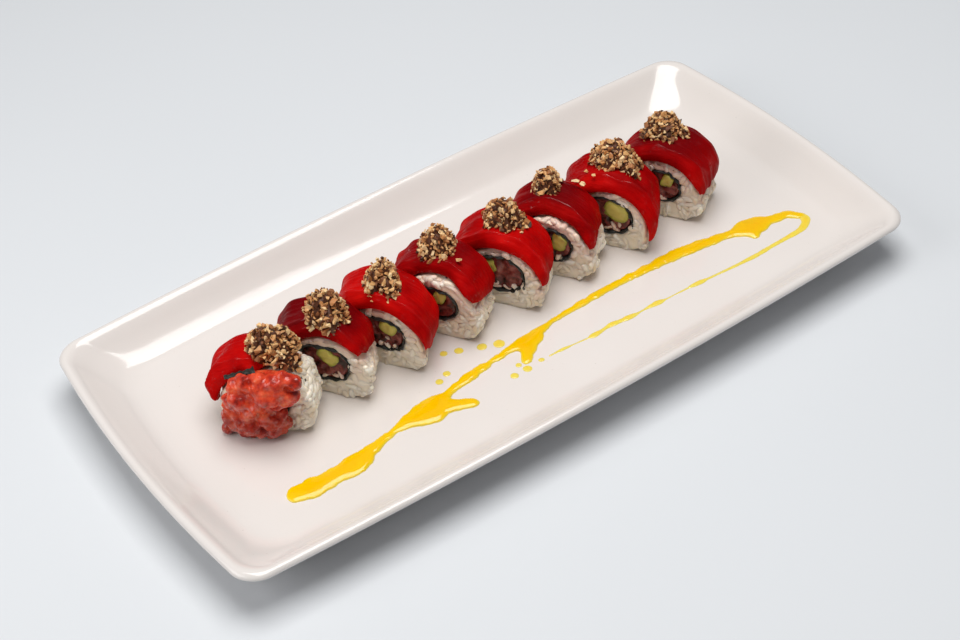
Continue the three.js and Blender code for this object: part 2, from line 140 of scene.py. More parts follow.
def node_in(tree, kind, settings, sockets):
    """The outputs of a new node. Each of its sockets is given a value or linked to another's output."""
    node = tree.nodes.new(kind)
    for setting, value in settings.items():
        setattr(node, setting, value)
    for socket, value in sockets.items():
        if isinstance(value, bpy.types.NodeSocket):
            tree.links.new(value, node.inputs[socket])
        else:
            node.inputs[socket].default_value = value
    return node.outputs


def place_in(tree, stretch=(1, 1, 1), layer=None):
    """Object coordinates, or a layer of the mesh's own coordinates, stretched."""
    if layer:
        place = node_in(tree, "ShaderNodeUVMap", {"uv_map": layer}, {})["UV"]
    else:
        place = node_in(tree, "ShaderNodeTexCoord", {}, {})["Object"]
    return node_in(tree, "ShaderNodeMapping", {}, {"Vector": place, "Scale": stretch})["Vector"]


def noise_on(tree, place, scale, detail=4.0, roughness=0.55):
    """Soft noise at a place, finer with a larger scale."""
    sockets = {"Vector": place, "Scale": scale, "Detail": detail, "Roughness": roughness}
    return node_in(tree, "ShaderNodeTexNoise", {}, sockets)["Fac"]


def field_on(tree, field):
    """The float that the mesh keeps under that name."""
    return node_in(tree, "ShaderNodeAttribute", {"attribute_name": field}, {})["Fac"]


def ramp_on(tree, value, stops):
    """Colours along a value: stops of (place, colour)."""
    node = tree.nodes.new("ShaderNodeValToRGB")
    elements = node.color_ramp.elements
    for index, (place, colour) in enumerate(stops):
        element = elements[index] if index < 2 else elements.new(place)
        element.position = place
        element.color = colour
    tree.links.new(value, node.inputs["Fac"])
    return node.outputs["Color"]


def range_on(tree, value, low, high, start=0.0, end=1.0):
    """The value moved from between low and high to between start and end, and held there."""
    sockets = {"Value": value, "From Min": low, "From Max": high, "To Min": start, "To Max": end}
    return node_in(tree, "ShaderNodeMapRange", {}, sockets)["Result"]


def mix_on(tree, share, one, other):
    """Colour one, turning to the other with the share. Each is a socket or a colour."""
    return node_in(tree, "ShaderNodeMix", {"data_type": "RGBA"}, {0: share, 6: one, 7: other})[2]


def bump_on(tree, shader, height, distance, strength=1.0):
    """Fine relief on the shader's surface, that many metres deep."""
    sockets = {"Height": height, "Distance": distance, "Strength": strength}
    relief = node_in(tree, "ShaderNodeBump", {}, sockets)
    tree.links.new(relief["Normal"], shader.inputs["Normal"])


def plate_ring(inset, level, corner):
    """The plate's outline that far inside its rim, at a level and with that corner radius."""
    half_length = PLATE_LENGTH / 2 - SHORT_SIDE_BOW - inset
    half_width = PLATE_WIDTH / 2 - LONG_SIDE_BOW - inset
    corner = min(corner, 0.9 * half_width)
    right, top = half_length - corner, half_width - corner
    middles = [(right, top), (-right, top), (-right, -top), (right, -top)]
    runs = []
    for quarter, (x, y) in enumerate(middles):
        turn = np.linspace(0, math.pi / 2, PLATE_ARC_STEPS + 1) + quarter * math.pi / 2
        arc = np.stack([x + corner * np.cos(turn), y + corner * np.sin(turn)], 1)
        next_x, next_y = middles[(quarter + 1) % 4]
        target = np.array([next_x + corner * np.cos(turn[-1]), next_y + corner * np.sin(turn[-1])])
        steps = PLATE_SIDE_STEPS[quarter]
        share = (np.arange(1, steps) / steps)[:, None]
        runs += [arc, arc[-1] + (target - arc[-1]) * share]
    x, y = np.vstack(runs).T
    bowed_x = x + x / half_length * SHORT_SIDE_BOW * (1 - (y / half_width) ** 2)
    bowed_y = y + y / half_width * LONG_SIDE_BOW * (1 - (x / half_length) ** 2)
    return np.stack([bowed_x, bowed_y, np.full_like(x, level)], 1)


plate_rows = [(70, 3, 3), (52, 3, 10)] + smooth_path(PLATE_PROFILE, 4).tolist() + [
    (30, 8, 14), (44, 8, 14), (58, 8, 10), (70, 8, 3)]
plate_rings = [plate_ring(inset, max(level, 0), corner) for inset, level, corner in plate_rows]
plate_faces = loft_faces(len(plate_rings), len(plate_rings[0]))
plate = make_piece("glazed_plate", np.vstack(plate_rings), plate_faces)

glaze, tree, shader = new_finish("warm_glaze", Roughness=0.1, Coat_Weight=0.35, Coat_Roughness=0.04)
place = place_in(tree)
cloud = noise_on(tree, place, 14, 3)
pooling = noise_on(tree, place, 900, 2)
tint = ramp_on(tree, cloud, [(0.3, GLAZE_SHADE), (0.7, GLAZE_COLOUR)])
speck = range_on(tree, pooling, 0.74, 0.8)
tree.links.new(mix_on(tree, speck, tint, GLAZE_SPECK), shader.inputs["Base Color"])
gloss = range_on(tree, noise_on(tree, place, 60, 2), 0.3, 0.7, 0.1, 0.17)
tree.links.new(gloss, shader.inputs["Roughness"])
bump_on(tree, shader, noise_on(tree, place, 120, 2), 0.00012, 0.5)
plate.data.materials.append(glaze)
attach(plate, "root")
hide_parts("plate")

# Sauce: a thick line of yellow fruit sauce squeezed from a bottle along the plate in front of the
# row, with pools and short runs, then a thin broken line back and a few drops. It lies on the glaze.
SAUCE_DEPTH = 1.3
THREAD_DEPTH = 0.7
DROP_DEPTH = 0.65
SAUCE_EDGE = 1.5
SAUCE_MELT = 0.45
SETTLING_ROUNDS = 160
THICK_STROKES = [
    [(-111.6, -38.4, 7), (-105, -39.4, 9.2), (-96, -39.4, 7.6), (-87, -39.2, 9.4), (-78, -36.6, 5.2),
     (-65, -33.6, 3.8), (-58, -33.2, 7.6), (-50, -33.8, 12.4), (-41.5, -30.4, 4), (-29, -27.8, 4.8),
     (-17, -26.2, 3), (-6.5, -25.4, 4.4), (0, -26.2, 7.6), (9.5, -23.2, 3), (30, -21.6, 3.6),
     (45, -21.2, 3.6), (60, -21.6, 4.4), (74.5, -22.2, 6), (88.5, -24.2, 5.4), (102, -26.8, 5),
     (108, -28, 10.4), (117.5, -29.6, 4.8), (124.5, -31.4, 4.4), (128.8, -35.4, 3.4)],
    [(-48, -34.6, 7), (-42, -36.8, 5.6), (-36, -40.2, 4.4)],
    [(-1.5, -27.4, 6), (-4, -30.4, 4.4), (-7.2, -34, 4)],
    [(107.6, -29.6, 6), (106.4, -32.6, 4.6)],
]
THIN_STROKES = [
    [(129, -36.4, 3), (128.5, -38.7, 2.8), (123.7, -41.6, 2.7), (116.8, -42.1, 2.3), (107.3, -42.2, 1.9),
     (99, -42.6, 2.1), (88, -42.2, 1.5), (74, -41.2, 1.3), (70.3, -41, 1.7), (66.5, -40.7, 1.1),
     (54, -40.2, 1), (50.5, -39.9, 2), (46.5, -39.7, 1), (41, -39.7, 0.9), (37.7, -39.5, 1.7),
     (35, -39.2, 1.3), (32.6, -38.8, 0.9), (30, -38.4, 1.6), (27.4, -38.5, 0.9), (24.3, -38.8, 0.9),
     (21.1, -39, 1.6), (18.8, -38.9, 0.8), (10, -38, 0.8), (5.8, -37.7, 1), (1, -37.5, 0.7)],
    [(-2.4, -37.4, 1.1), (-3.2, -37.3, 1.1)],
]
DROPS = [
    (-29.8, -11.1, 1.7), (-24.5, -13.4, 2.2), (-16.4, -17.1, 2.6), (-10.4, -19.8, 3.2),
    (-39.7, -22.8, 1.5), (-35.2, -20.9, 1.8), (-10, -37.8, 2.3), (-11.3, -34.2, 1.1), (-16, -37.9, 1.8),
]
SAUCE_COLOUR = (0.96, 0.59, 0.0, 1)
SAUCE_DEEP = (0.93, 0.51, 0.0, 1)
SAUCE_THIN = (0.97, 0.74, 0.14, 1)


def wavy(x, y, size, seed):
    """A repeatable uneven value from -1 to 1 over a surface, with features of about that size."""
    total = np.zeros_like(x)
    random = np.random.default_rng(seed)
    for _ in range(6):
        turn, phase = random.uniform(0, 2 * math.pi, 2)
        pitch = 2 * math.pi / (size * random.uniform(0.7, 1.5))
        total = total + np.sin((x * np.cos(turn) + y * np.sin(turn)) * pitch + phase)
    return total / 3.2


def puddle_height(inside, cell):
    """How high a puddle stands over its cells, from 0 at its edge to 1, as its weight flattens it."""
    settle = (cell / SAUCE_EDGE) ** 2 / 4
    height = np.zeros(inside.shape)
    for _ in range(SETTLING_ROUNDS):
        around = np.zeros(inside.shape)
        beside = height[2:, 1:-1] + height[:-2, 1:-1] + height[1:-1, 2:] + height[1:-1, :-2]
        around[1:-1, 1:-1] = beside / 4
        height = np.where(inside, (around + settle) / (1 + settle), 0)
    return height ** 0.75


def poured(name, strokes, depth, wobble, seed, cell):
    """A film of sauce over round-ended strokes of (x, y, width) that run together, on the floor."""
    beads = np.vstack([smooth_path(stroke, 16) for stroke in strokes])
    beads[:, 2] = np.maximum(beads[:, 2], 1.6 * cell)
    low = beads[:, :2].min(0) - 9
    counts = np.ceil((beads[:, :2].max(0) + 9 - low) / cell).astype(int) + 1
    grid_x = low[0] + cell * np.arange(counts[0])
    grid_y = low[1] + cell * np.arange(counts[1])
    x, y = np.meshgrid(grid_x, grid_y, indexing="ij")

    def outside(x, y):
        """How far a point lies outside the sauce's edge, less than 0 inside."""
        nearest = np.full(x.shape, 1e3)
        total = np.zeros(x.shape)
        for bead_x, bead_y, width in beads:
            away = np.hypot(x - bead_x, y - bead_y) - width / 2
            nearest = np.minimum(nearest, away)
        for bead_x, bead_y, width in beads[::4]:
            away = np.hypot(x - bead_x, y - bead_y) - width / 2
            total = total + np.exp(-np.clip(away, -8, 20) / SAUCE_MELT)
        blended = -SAUCE_MELT * np.log(total + 1e-12)
        edge = np.minimum(nearest, blended)
        return edge + wobble * wavy(x, y, 5.5, seed) + 0.4 * wobble * wavy(x, y, 2.1, seed + 1)

    edge = outside(x, y)
    step = 0.05
    slope_x = (outside(x + step, y) - edge) / step
    slope_y = (outside(x, y + step) - edge) / step
    steep = np.maximum(slope_x ** 2 + slope_y ** 2, 0.3)
    inside = edge < 0
    used = inside[:-1, :-1] | inside[1:, :-1] | inside[1:, 1:] | inside[:-1, 1:]
    pull = np.where(inside, 0, np.clip(edge, 0, 1.5) / steep)
    x, y = x - slope_x * pull, y - slope_y * pull
    rise = depth * puddle_height(inside, cell) * (1 + 0.08 * wavy(x, y, 9, seed + 2))
    number = np.full(x.shape, -1)
    corners = np.zeros(x.shape, bool)
    for shift_x in (slice(0, -1), slice(1, None)):
        for shift_y in (slice(0, -1), slice(1, None)):
            corners[shift_x, shift_y] |= used
    total = corners.sum()
    number[corners] = np.arange(total)
    top = np.stack([x[corners], y[corners], PLATE_FLOOR + 0.02 + rise[corners]], 1)
    base = top.copy()
    base[:, 2] = PLATE_FLOOR - 0.1
    faces, edges = [], {}
    for i, j in np.argwhere(used):
        quad = [number[i, j], number[i + 1, j], number[i + 1, j + 1], number[i, j + 1]]
        faces.append(tuple(int(v) for v in quad))
        faces.append(tuple(int(v) + total for v in reversed(quad)))
        for one, other in zip(quad, quad[1:] + quad[:1]):
            edges[(int(one), int(other))] = True
    for one, other in edges:
        if (other, one) not in edges:
            faces.append((one + total, other + total, other, one))
    thickness = np.clip(np.concatenate([rise[corners], rise[corners]]) / SAUCE_DEPTH, 0, 1)
    return make_piece(name, np.vstack([top, base]), faces, thickness=thickness)


def sauce_pieces():
    """The drizzle, the thread and the drops, in one sauce."""
    sauce, tree, shader = new_finish(
        "yellow_sauce", Roughness=0.12, Subsurface_Weight=0.3, Subsurface_Scale=0.002,
        Subsurface_Radius=(1.0, 0.55, 0.08), Specular_IOR_Level=0.25, Coat_Weight=0.6, Coat_Roughness=0.04)
    place = place_in(tree)
    body = ramp_on(tree, field_on(tree, "thickness"), [
        (0.05, SAUCE_THIN), (0.45, SAUCE_COLOUR), (1, SAUCE_DEEP)])
    pulp = range_on(tree, noise_on(tree, place, 650, 3), 0.62, 0.72, 0, 0.5)
    tree.links.new(mix_on(tree, pulp, body, SAUCE_DEEP), shader.inputs["Base Color"])
    bump_on(tree, shader, noise_on(tree, place, 300, 2), 0.0003, 0.4)
    drop_strokes = [[(x, y, size), (x + 0.25 * size, y - 0.1 * size, size)] for x, y, size in DROPS]
    pieces = [
        poured("sauce_drizzle", THICK_STROKES, SAUCE_DEPTH, 0.3, 3, 0.4),
        poured("sauce_thread", THIN_STROKES, THREAD_DEPTH, 0.08, 7, 0.25),
        poured("sauce_drops", drop_strokes, DROP_DEPTH, 0.1, 11, 0.3),
    ]
    for piece in pieces:
        piece.data.materials.append(sauce)
        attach(piece, "root")
    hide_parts("plate")


sauce_pieces()

# Rice: the ring of pressed sushi rice that each piece of the roll is wrapped in, whole cooked
# grains stuck together and sliced through at the two cuts. It stands on the plate floor.
GAP = 0.3
RICE_HALF_WIDTH = 17.6
RICE_HEIGHT = 26.8
RICE_SWELL = 1.7
RICE_EDGE_ROUND = 1.5
RICE_SUNK = 0.8
SLICE_OVERHANG = 0.35
WAIST = 0.42
FRONT_CROWN_POWER = 2.05
BACK_CROWN_POWER = 1.65
SOLE_POWER = 3.2
CORE_HALF_WIDTH = 10
CORE_HALF_HEIGHT = 7.8
CORE_LEVEL = 15.2
CORE_FORWARD = 0.2
CORE_POWER = 2.3
GRAIN_LENGTH = 5.8
GRAIN_WIDTH = 2.7
GRAIN_SPACING = 2.1
GRAIN_LIFT = -0.4
RICE_COLOUR = (0.98, 0.85, 0.67, 1)
RICE_GREY = (0.74, 0.61, 0.45, 1)
RICE_WHITE = (1.0, 0.92, 0.77, 1)
RICE_PINK = (0.86, 0.50, 0.41, 1)
RICE_SPECK = (0.05, 0.035, 0.03, 1)
RICE_SIDES = 64
GRAIN_SIDES = 7
MOST_PER_SQUARE_METRE = 3e6
CUT_DEPTH = 0.75
# Each piece: its middle on the plate, the turn of its cuts, its length, its slant (how far it runs
# sideways for its length, as its cuts are not square) and the size of its core. The avocado is given by
# its middle across and up, half sizes and tilt. The tuna's ends at the near and the far cut are degrees
# from the front flank's middle. Then how far the tuna stays short of the near cut on the crown, how far
# it hangs over it at the front, how dark it is, and its nut heap's place and half sizes.
PIECES = [
    dict(x=-96.6, y=3.5, turn=43, length=19.5, slant=0.15, core=1.05, avocado=(-3, 18.5, 3.8, 3.2, 30),
         front=(92, 52), back=(186, 176), shy=2.2, flap=0, tone=0.25,
         heap=(0.4, -4.5), heap_half=(8.6, 10.6)),
    dict(x=-68.8, y=6.3, turn=35, length=20, slant=0.28, core=1.08, avocado=(-2.1, 18.6, 4.4, 3.2, 40),
         front=(36, 8), back=(180, 188), shy=0.8, flap=0, tone=1.5,
         heap=(-0.9, -2.3), heap_half=(8.8, 9.8)),
    dict(x=-42.8, y=6.5, turn=31, length=21.2, slant=0.3, core=1, avocado=(-3.4, 19, 3.6, 3.2, 25),
         front=(-1, -26), back=(184, 178), shy=0, flap=0.8, tone=0.15,
         heap=(-0.9, -1), heap_half=(9.2, 8.2)),
    dict(x=-16.9, y=6.3, turn=31, length=21.2, slant=0.13, core=0.98, avocado=(-2.4, 18.8, 2.4, 3.2, 20),
         front=(25, 0), back=(178, 190), shy=3.6, flap=0, tone=0.8,
         heap=(1.8, 1.4), heap_half=(8.4, 8.4)),
    dict(x=11.6, y=5.6, turn=31, length=21.5, slant=0.22, core=1.08, avocado=(4, 18, 3.4, 3, -20),
         front=(0, 3), back=(186, 182), shy=0.6, flap=0, tone=0.15,
         heap=(1.1, -0.8), heap_half=(8.6, 10.2)),
    dict(x=37.2, y=6.9, turn=31, length=21.5, slant=0.15, core=1, avocado=(-4.6, 17.6, 3.2, 4.6, 15),
         front=(12, 20), back=(180, 176), shy=3, flap=0, tone=1,
         heap=(2.6, 3.4), heap_half=(7.6, 6.8)),
    dict(x=65.4, y=7.2, turn=31, length=22.3, slant=0.2, core=1.1, avocado=(-4.4, 18, 5.4, 4.2, 25),
         front=(-18, 4), back=(176, 186), shy=0, flap=1.4, tone=0.4,
         heap=(1.4, -1.8), heap_half=(8.6, 12)),
    dict(x=94, y=7.4, turn=31, length=22.3, slant=0, core=1, avocado=(-4.2, 18.6, 2.4, 3.4, 20),
         front=(6, 0), back=(184, 180), shy=0, flap=0.8, tone=1,
         heap=(1.8, 2), heap_half=(8.6, 9.8)),
]


def smoothstep(value, low, high):
    share = np.clip((np.asarray(value, float) - low) / (high - low), 0, 1)
    return share * share * (3 - 2 * share)


def on_plate(piece, points):
    """Points along, across and above a piece, moved to where the piece stands on the plate."""
    turn = math.radians(piece["turn"])
    points = np.asarray(points, float)
    across = points[:, 1] + piece["slant"] * points[:, 0]
    x = piece["x"] + points[:, 0] * math.cos(turn) - across * math.sin(turn)
    y = piece["y"] + points[:, 0] * math.sin(turn) + across * math.cos(turn)
    return np.stack([x, y, PLATE_FLOOR + points[:, 2]], 1)


def round_angles(count):
    return np.arange(count) * 2 * math.pi / count


def bent(value, power):
    return np.sign(value) * np.abs(value) ** power


def section_point(angle, half_width, height):
    """Across and up on a piece's cross-section, from the middle of its front flank over the crown."""
    cos, sin = np.cos(angle), np.sin(angle)
    crown = np.where(cos > 0, FRONT_CROWN_POWER, BACK_CROWN_POWER)
    power = 2 / np.where(sin >= 0, crown, SOLE_POWER)
    reach = np.where(sin >= 0, height * (1 - WAIST), height * WAIST)
    return -half_width * bent(cos, power), GAP + height * WAIST + reach * bent(sin, power)


def core_point(angle, scale, inset):
    """Across and up on the core's outline, that far inside it."""
    power = 2 / CORE_POWER
    across = -CORE_FORWARD - (CORE_HALF_WIDTH * scale - inset) * bent(np.cos(angle), power)
    return across, CORE_LEVEL + (CORE_HALF_HEIGHT * scale - inset) * bent(np.sin(angle), power)


def slice_ends(piece, along):
    """Degrees round the section at which the slice ends in front and at the back."""
    cut = along / piece["length"] + 0.5
    front = piece["front"][0] + (piece["front"][1] - piece["front"][0]) * cut
    back = piece["back"][0] + (piece["back"][1] - piece["back"][0]) * cut
    return front, back


def degrees_below_slice(piece, along, angle):
    """How many degrees a place on the section lies below the slice's nearer end."""
    front, back = slice_ends(piece, along)
    degrees = np.degrees(angle)
    below_front = front - np.where(degrees > 270, degrees - 360, degrees)
    below_back = np.where(degrees > 270, 0, degrees - back)
    return np.maximum(below_front, below_back)


def near_edge_of_slice(piece, angle):
    """Where the slice's near edge lies along the piece, short of the cut or hanging over it."""
    on_crown = 1 - smoothstep(np.abs(np.degrees(angle) - 90), 20, 65)
    in_front = 1 - smoothstep(np.degrees(angle), 15, 75)
    return -piece["length"] / 2 - SLICE_OVERHANG + piece["shy"] * on_crown - piece["flap"] * in_front


def rice_core(piece, number):
    """The pressed ring under the grains, with where grains show and where tuna has stained it."""
    angles = round_angles(RICE_SIDES)
    half = piece["length"] / 2
    rings, bare, stain = [], [], []

    def skin_ring(along, inset):
        below = degrees_below_slice(piece, along, angles)
        drop = inset + RICE_SUNK - RICE_SWELL * smoothstep(below, 6, 24)
        drop = drop + 0.3 * wavy(np.full(RICE_SIDES, along), angles * 16, 4.5, number)
        waves = wavy(np.full(RICE_SIDES, along), angles * 16, 8, number + 5)
        drop = drop - 0.7 * smoothstep(below, 6, 24) * waves
        across, up = section_point(angles, RICE_HALF_WIDTH - drop, RICE_HEIGHT)
        up = up - np.where(angles < math.pi, drop * np.sin(angles), -0.5 * drop * np.abs(np.sin(angles)))
        rings.append(np.stack([np.full(RICE_SIDES, along), across, up], 1))
        uncovered = smoothstep(near_edge_of_slice(piece, angles) - along, -0.5, 0.8)
        shows = np.maximum(smoothstep(below, 2, 7), uncovered)
        bare.append(shows * smoothstep(up, 0.9, 2.2))
        stain.append(1 - smoothstep(below, 4, 26))

    def cut_ring(side, share):
        rim_half_width = RICE_HALF_WIDTH - RICE_EDGE_ROUND - 0.6
        outer_across, outer_up = section_point(angles, rim_half_width, RICE_HEIGHT - 1.2)
        inner_across, inner_up = core_point(angles, piece["core"], 0)
        across = outer_across + (inner_across - outer_across) * share
        up = outer_up + (inner_up - outer_up) * share
        along = side * (half - CUT_DEPTH + 0.35 * wavy(across, up, 4, number + 20))
        rings.append(np.stack([along, across, up], 1))
        bare.append((0.7 if share < 0.95 else 0.2) * smoothstep(up, 0.9, 2.2))
        stain.append(smoothstep(up, 7, 20) * 0.85)

    for along in np.linspace(-half + RICE_EDGE_ROUND, half - RICE_EDGE_ROUND, 16):
        skin_ring(along, 0)
    skin_ring(half - 0.5, 0.8)
    cut_shares = (0.06, 0.3, 0.55, 0.8, 1)
    for share in cut_shares:
        cut_ring(1, share)
    for share in reversed(cut_shares):
        cut_ring(-1, share)
    skin_ring(-half + 0.5, 0.8)
    faces = loft_faces(len(rings), RICE_SIDES, endless=True, flipped=True)
    points = on_plate(piece, np.vstack(rings))
    points[:, 2] = np.maximum(points[:, 2], PLATE_FLOOR + 0.1)
    return make_piece(f"rice_ring_{number}", points, faces, bare=np.concatenate(bare),
                      stain=np.concatenate(stain), tint=np.full(len(points), 0.35))


def grain_shapes():
    """A few cooked grains, plump, a little bent and uneven, lying along x."""
    shelf = bpy.data.collections.new("grain_shapes")
    bpy.context.scene.collection.children.link(shelf)
    random = np.random.default_rng(5)
    for index in range(5):
        bend, taper = random.uniform(-0.35, 0.35), random.uniform(-0.18, 0.18)
        rings = []
        for share in (0.04, 0.16, 0.34, 0.5, 0.66, 0.84, 0.96):
            reach = (share - 0.5) * GRAIN_LENGTH
            girth = GRAIN_WIDTH / 2 * math.sqrt(max(0, 1 - abs(2 * share - 1) ** 2.6))
            girth = girth * (1 + taper * (2 * share - 1))
            turn = round_angles(GRAIN_SIDES)
            lift = bend * (1 - (2 * share - 1) ** 2)
            wide, high = girth * np.cos(turn) + lift, 0.86 * girth * np.sin(turn)
            rings.append(np.stack([np.full(GRAIN_SIDES, reach), wide, high], 1))
        grain = make_piece(f"grain_{index}", np.vstack(rings), loft_faces(len(rings), GRAIN_SIDES))
        bpy.context.scene.collection.objects.unlink(grain)
        shelf.objects.link(grain)
    return shelf


def scatter_tree(name):
    """Shapes strewn over a mesh where its bare field is high, each lying on the surface and turned."""
    tree = bpy.data.node_groups.new(name, "GeometryNodeTree")
    inputs = {}
    for label, kind, value in (
        ("Geometry", "NodeSocketGeometry", None), ("Shapes", "NodeSocketCollection", None),
        ("Finish", "NodeSocketMaterial", None), ("Spacing", "NodeSocketFloat", 0.002),
        ("Lift", "NodeSocketFloat", 0.0), ("Tilt", "NodeSocketFloat", 0.3),
        ("Smallest", "NodeSocketFloat", 0.8), ("Largest", "NodeSocketFloat", 1.2),
        ("Kinds", "NodeSocketInt", 4), ("Seed", "NodeSocketInt", 1), ("Keep Core", "NodeSocketBool", True),
    ):
        socket = tree.interface.new_socket(label, in_out="INPUT", socket_type=kind)
        if value is not None:
            socket.default_value = value
        inputs[label] = socket.identifier
    tree.interface.new_socket("Geometry", in_out="OUTPUT", socket_type="NodeSocketGeometry")
    given = node_in(tree, "NodeGroupInput", {}, {})

    def drawn(kind, low, high, shift):
        """A random draw for each point, with a seed of its own."""
        first, output = {"FLOAT_VECTOR": (0, 0), "FLOAT": (2, 1), "INT": (4, 2)}[kind]
        seed = node_in(tree, "ShaderNodeMath", {"operation": "ADD"}, {0: given["Seed"], 1: shift})[0]
        sockets = {first: low, first + 1: high, "Seed": seed}
        return node_in(tree, "FunctionNodeRandomValue", {"data_type": kind}, sockets)[output]

    def scaled(vector, scale):
        sockets = {0: vector, "Scale": scale}
        return node_in(tree, "ShaderNodeVectorMath", {"operation": "SCALE"}, sockets)[0]

    bare = node_in(tree, "GeometryNodeInputNamedAttribute", {"data_type": "FLOAT"}, {"Name": "bare"})
    strewn = node_in(tree, "GeometryNodeDistributePointsOnFaces", {"distribute_method": "POISSON"}, {
        "Mesh": given["Geometry"], "Distance Min": given["Spacing"], "Density Max": MOST_PER_SQUARE_METRE,
        "Density Factor": bare["Attribute"], "Seed": given["Seed"]})
    lifted = node_in(tree, "GeometryNodeSetPosition", {}, {
        "Geometry": strewn["Points"], "Offset": scaled(strewn["Normal"], given["Lift"])})[0]
    spin = node_in(tree, "ShaderNodeCombineXYZ", {}, {"Z": drawn("FLOAT", 0.0, 2 * math.pi, 11)})[0]
    lean = scaled(drawn("FLOAT_VECTOR", (-1, -1, 0), (1, 1, 0), 12), given["Tilt"])
    turned = node_in(tree, "ShaderNodeVectorMath", {"operation": "ADD"}, {0: lean, 1: spin})[0]
    laid = node_in(tree, "FunctionNodeRotateRotation", {"rotation_space": "LOCAL"}, {
        "Rotation": strewn["Rotation"],
        "Rotate By": node_in(tree, "FunctionNodeEulerToRotation", {}, {0: turned})[0]})[0]
    shapes = node_in(tree, "GeometryNodeCollectionInfo", {}, {
        "Collection": given["Shapes"], "Separate Children": True, "Reset Children": True})[0]
    placed = node_in(tree, "GeometryNodeInstanceOnPoints", {}, {
        "Points": lifted, "Instance": shapes, "Pick Instance": True, "Rotation": laid,
        "Instance Index": drawn("INT", 0, given["Kinds"], 13),
        "Scale": drawn("FLOAT", given["Smallest"], given["Largest"], 14)})[0]
    tinted = node_in(tree, "GeometryNodeStoreNamedAttribute", {"data_type": "FLOAT", "domain": "INSTANCE"}, {
        "Geometry": placed, "Name": "tint", "Value": drawn("FLOAT", 0.0, 1.0, 15)})[0]
    core = node_in(tree, "GeometryNodeSwitch", {"input_type": "GEOMETRY"}, {
        "Switch": given["Keep Core"], "True": given["Geometry"]})[0]
    whole = tree.nodes.new("GeometryNodeJoinGeometry")
    for part in (core, tinted):
        tree.links.new(part, whole.inputs[0])
    real = node_in(tree, "GeometryNodeRealizeInstances", {}, {0: whole.outputs[0]})[0]
    finished = node_in(tree, "GeometryNodeSetMaterial", {}, {"Geometry": real, "Material": given["Finish"]})
    node_in(tree, "NodeGroupOutput", {}, {0: finished[0]})
    return tree, inputs


SCATTER, SCATTER_INPUTS = scatter_tree("strewn_over_core")


def keep_result(piece):
    """Gives the piece what its modifiers make of it as a plain mesh."""
    bpy.context.view_layer.update()
    graph = bpy.context.evaluated_depsgraph_get()
    made = piece.evaluated_get(graph)
    mesh = bpy.data.meshes.new_from_object(made, preserve_all_data_layers=True, depsgraph=graph)
    piece.modifiers.clear()
    piece.data = mesh
    mesh.name = piece.name


def strew(piece, **settings):
    """Runs the scatter tree on a core and keeps the result as the piece's mesh."""
    modifier = piece.modifiers.new("strewn", "NODES")
    modifier.node_group = SCATTER
    for label, value in settings.items():
        modifier[SCATTER_INPUTS[label.replace("_", " ")]] = value
    keep_result(piece)


def points_of(piece):
    """The piece's points in metres, one to a row."""
    points = np.zeros(len(piece.data.vertices) * 3, np.float32)
    piece.data.vertices.foreach_get("co", points)
    return points.reshape(-1, 3)


def move_points(piece, points):
    piece.data.vertices.foreach_set("co", points.astype(np.float32).ravel())
    piece.data.update()


def keep_above_floor(piece, floor):
    """Flattens what would reach into the plate, as soft food does."""
    points = points_of(piece)
    points[:, 2] = np.maximum(points[:, 2], floor * MM)
    move_points(piece, points)


def slice_flat(ring, piece, number):
    """Shaves off what stands out of the two cuts, as the knife did."""
    points = points_of(ring).astype(float) / MM
    turn = math.radians(piece["turn"])
    x, y = points[:, 0] - piece["x"], points[:, 1] - piece["y"]
    along = x * math.cos(turn) + y * math.sin(turn)
    across = y * math.cos(turn) - x * math.sin(turn) - piece["slant"] * along
    limit = piece["length"] / 2 + 0.1 + 0.3 * wavy(across, points[:, 2], 6, number + 25)
    limit = limit + 0.45 * wavy(across, points[:, 2], 2.4, number + 26)
    along = np.clip(along, -limit, limit)
    points = on_plate(piece, np.stack([along, across, points[:, 2] - PLATE_FLOOR], 1))
    move_points(ring, points * MM)


def clear_shelf(shelf):
    for shape in list(shelf.objects):
        bpy.data.objects.remove(shape)
    bpy.data.collections.remove(shelf)


def math_on(tree, operation, one, other):
    """Two values joined by a Math node's operation."""
    return node_in(tree, "ShaderNodeMath", {"operation": operation}, {0: one, 1: other})[0]


rice_finish, tree, shader = new_finish(
    "cooked_rice", Roughness=0.4, Subsurface_Weight=0.3, Subsurface_Scale=0.0016,
    Subsurface_Radius=(1.0, 0.75, 0.5), Coat_Weight=0.15, Coat_Roughness=0.2)
place = place_in(tree)
plain = ramp_on(tree, field_on(tree, "tint"), [(0.0, RICE_GREY), (0.25, RICE_COLOUR), (1, RICE_WHITE)])
uneven = noise_on(tree, place, 160, 3)
patchy = range_on(tree, uneven, 0.35, 0.65, 0.25, 1.0)
blush = math_on(tree, "MULTIPLY", field_on(tree, "stain"), patchy)
stained = mix_on(tree, range_on(tree, blush, 0, 1, 0, 0.7), plain, RICE_PINK)
cells = node_in(tree, "ShaderNodeTexVoronoi", {}, {"Vector": place, "Scale": 210})
dot = range_on(tree, cells["Distance"], 0.13, 0.09)
chosen = range_on(tree, cells["Color"], 0.66, 0.68)
speck = math_on(tree, "MULTIPLY", dot, chosen)
tree.links.new(mix_on(tree, speck, stained, RICE_SPECK), shader.inputs["Base Color"])
tree.links.new(range_on(tree, uneven, 0.3, 0.7, 0.32, 0.5), shader.inputs["Roughness"])
bump_on(tree, shader, noise_on(tree, place, 900, 2), 0.00012, 0.5)
grains = grain_shapes()
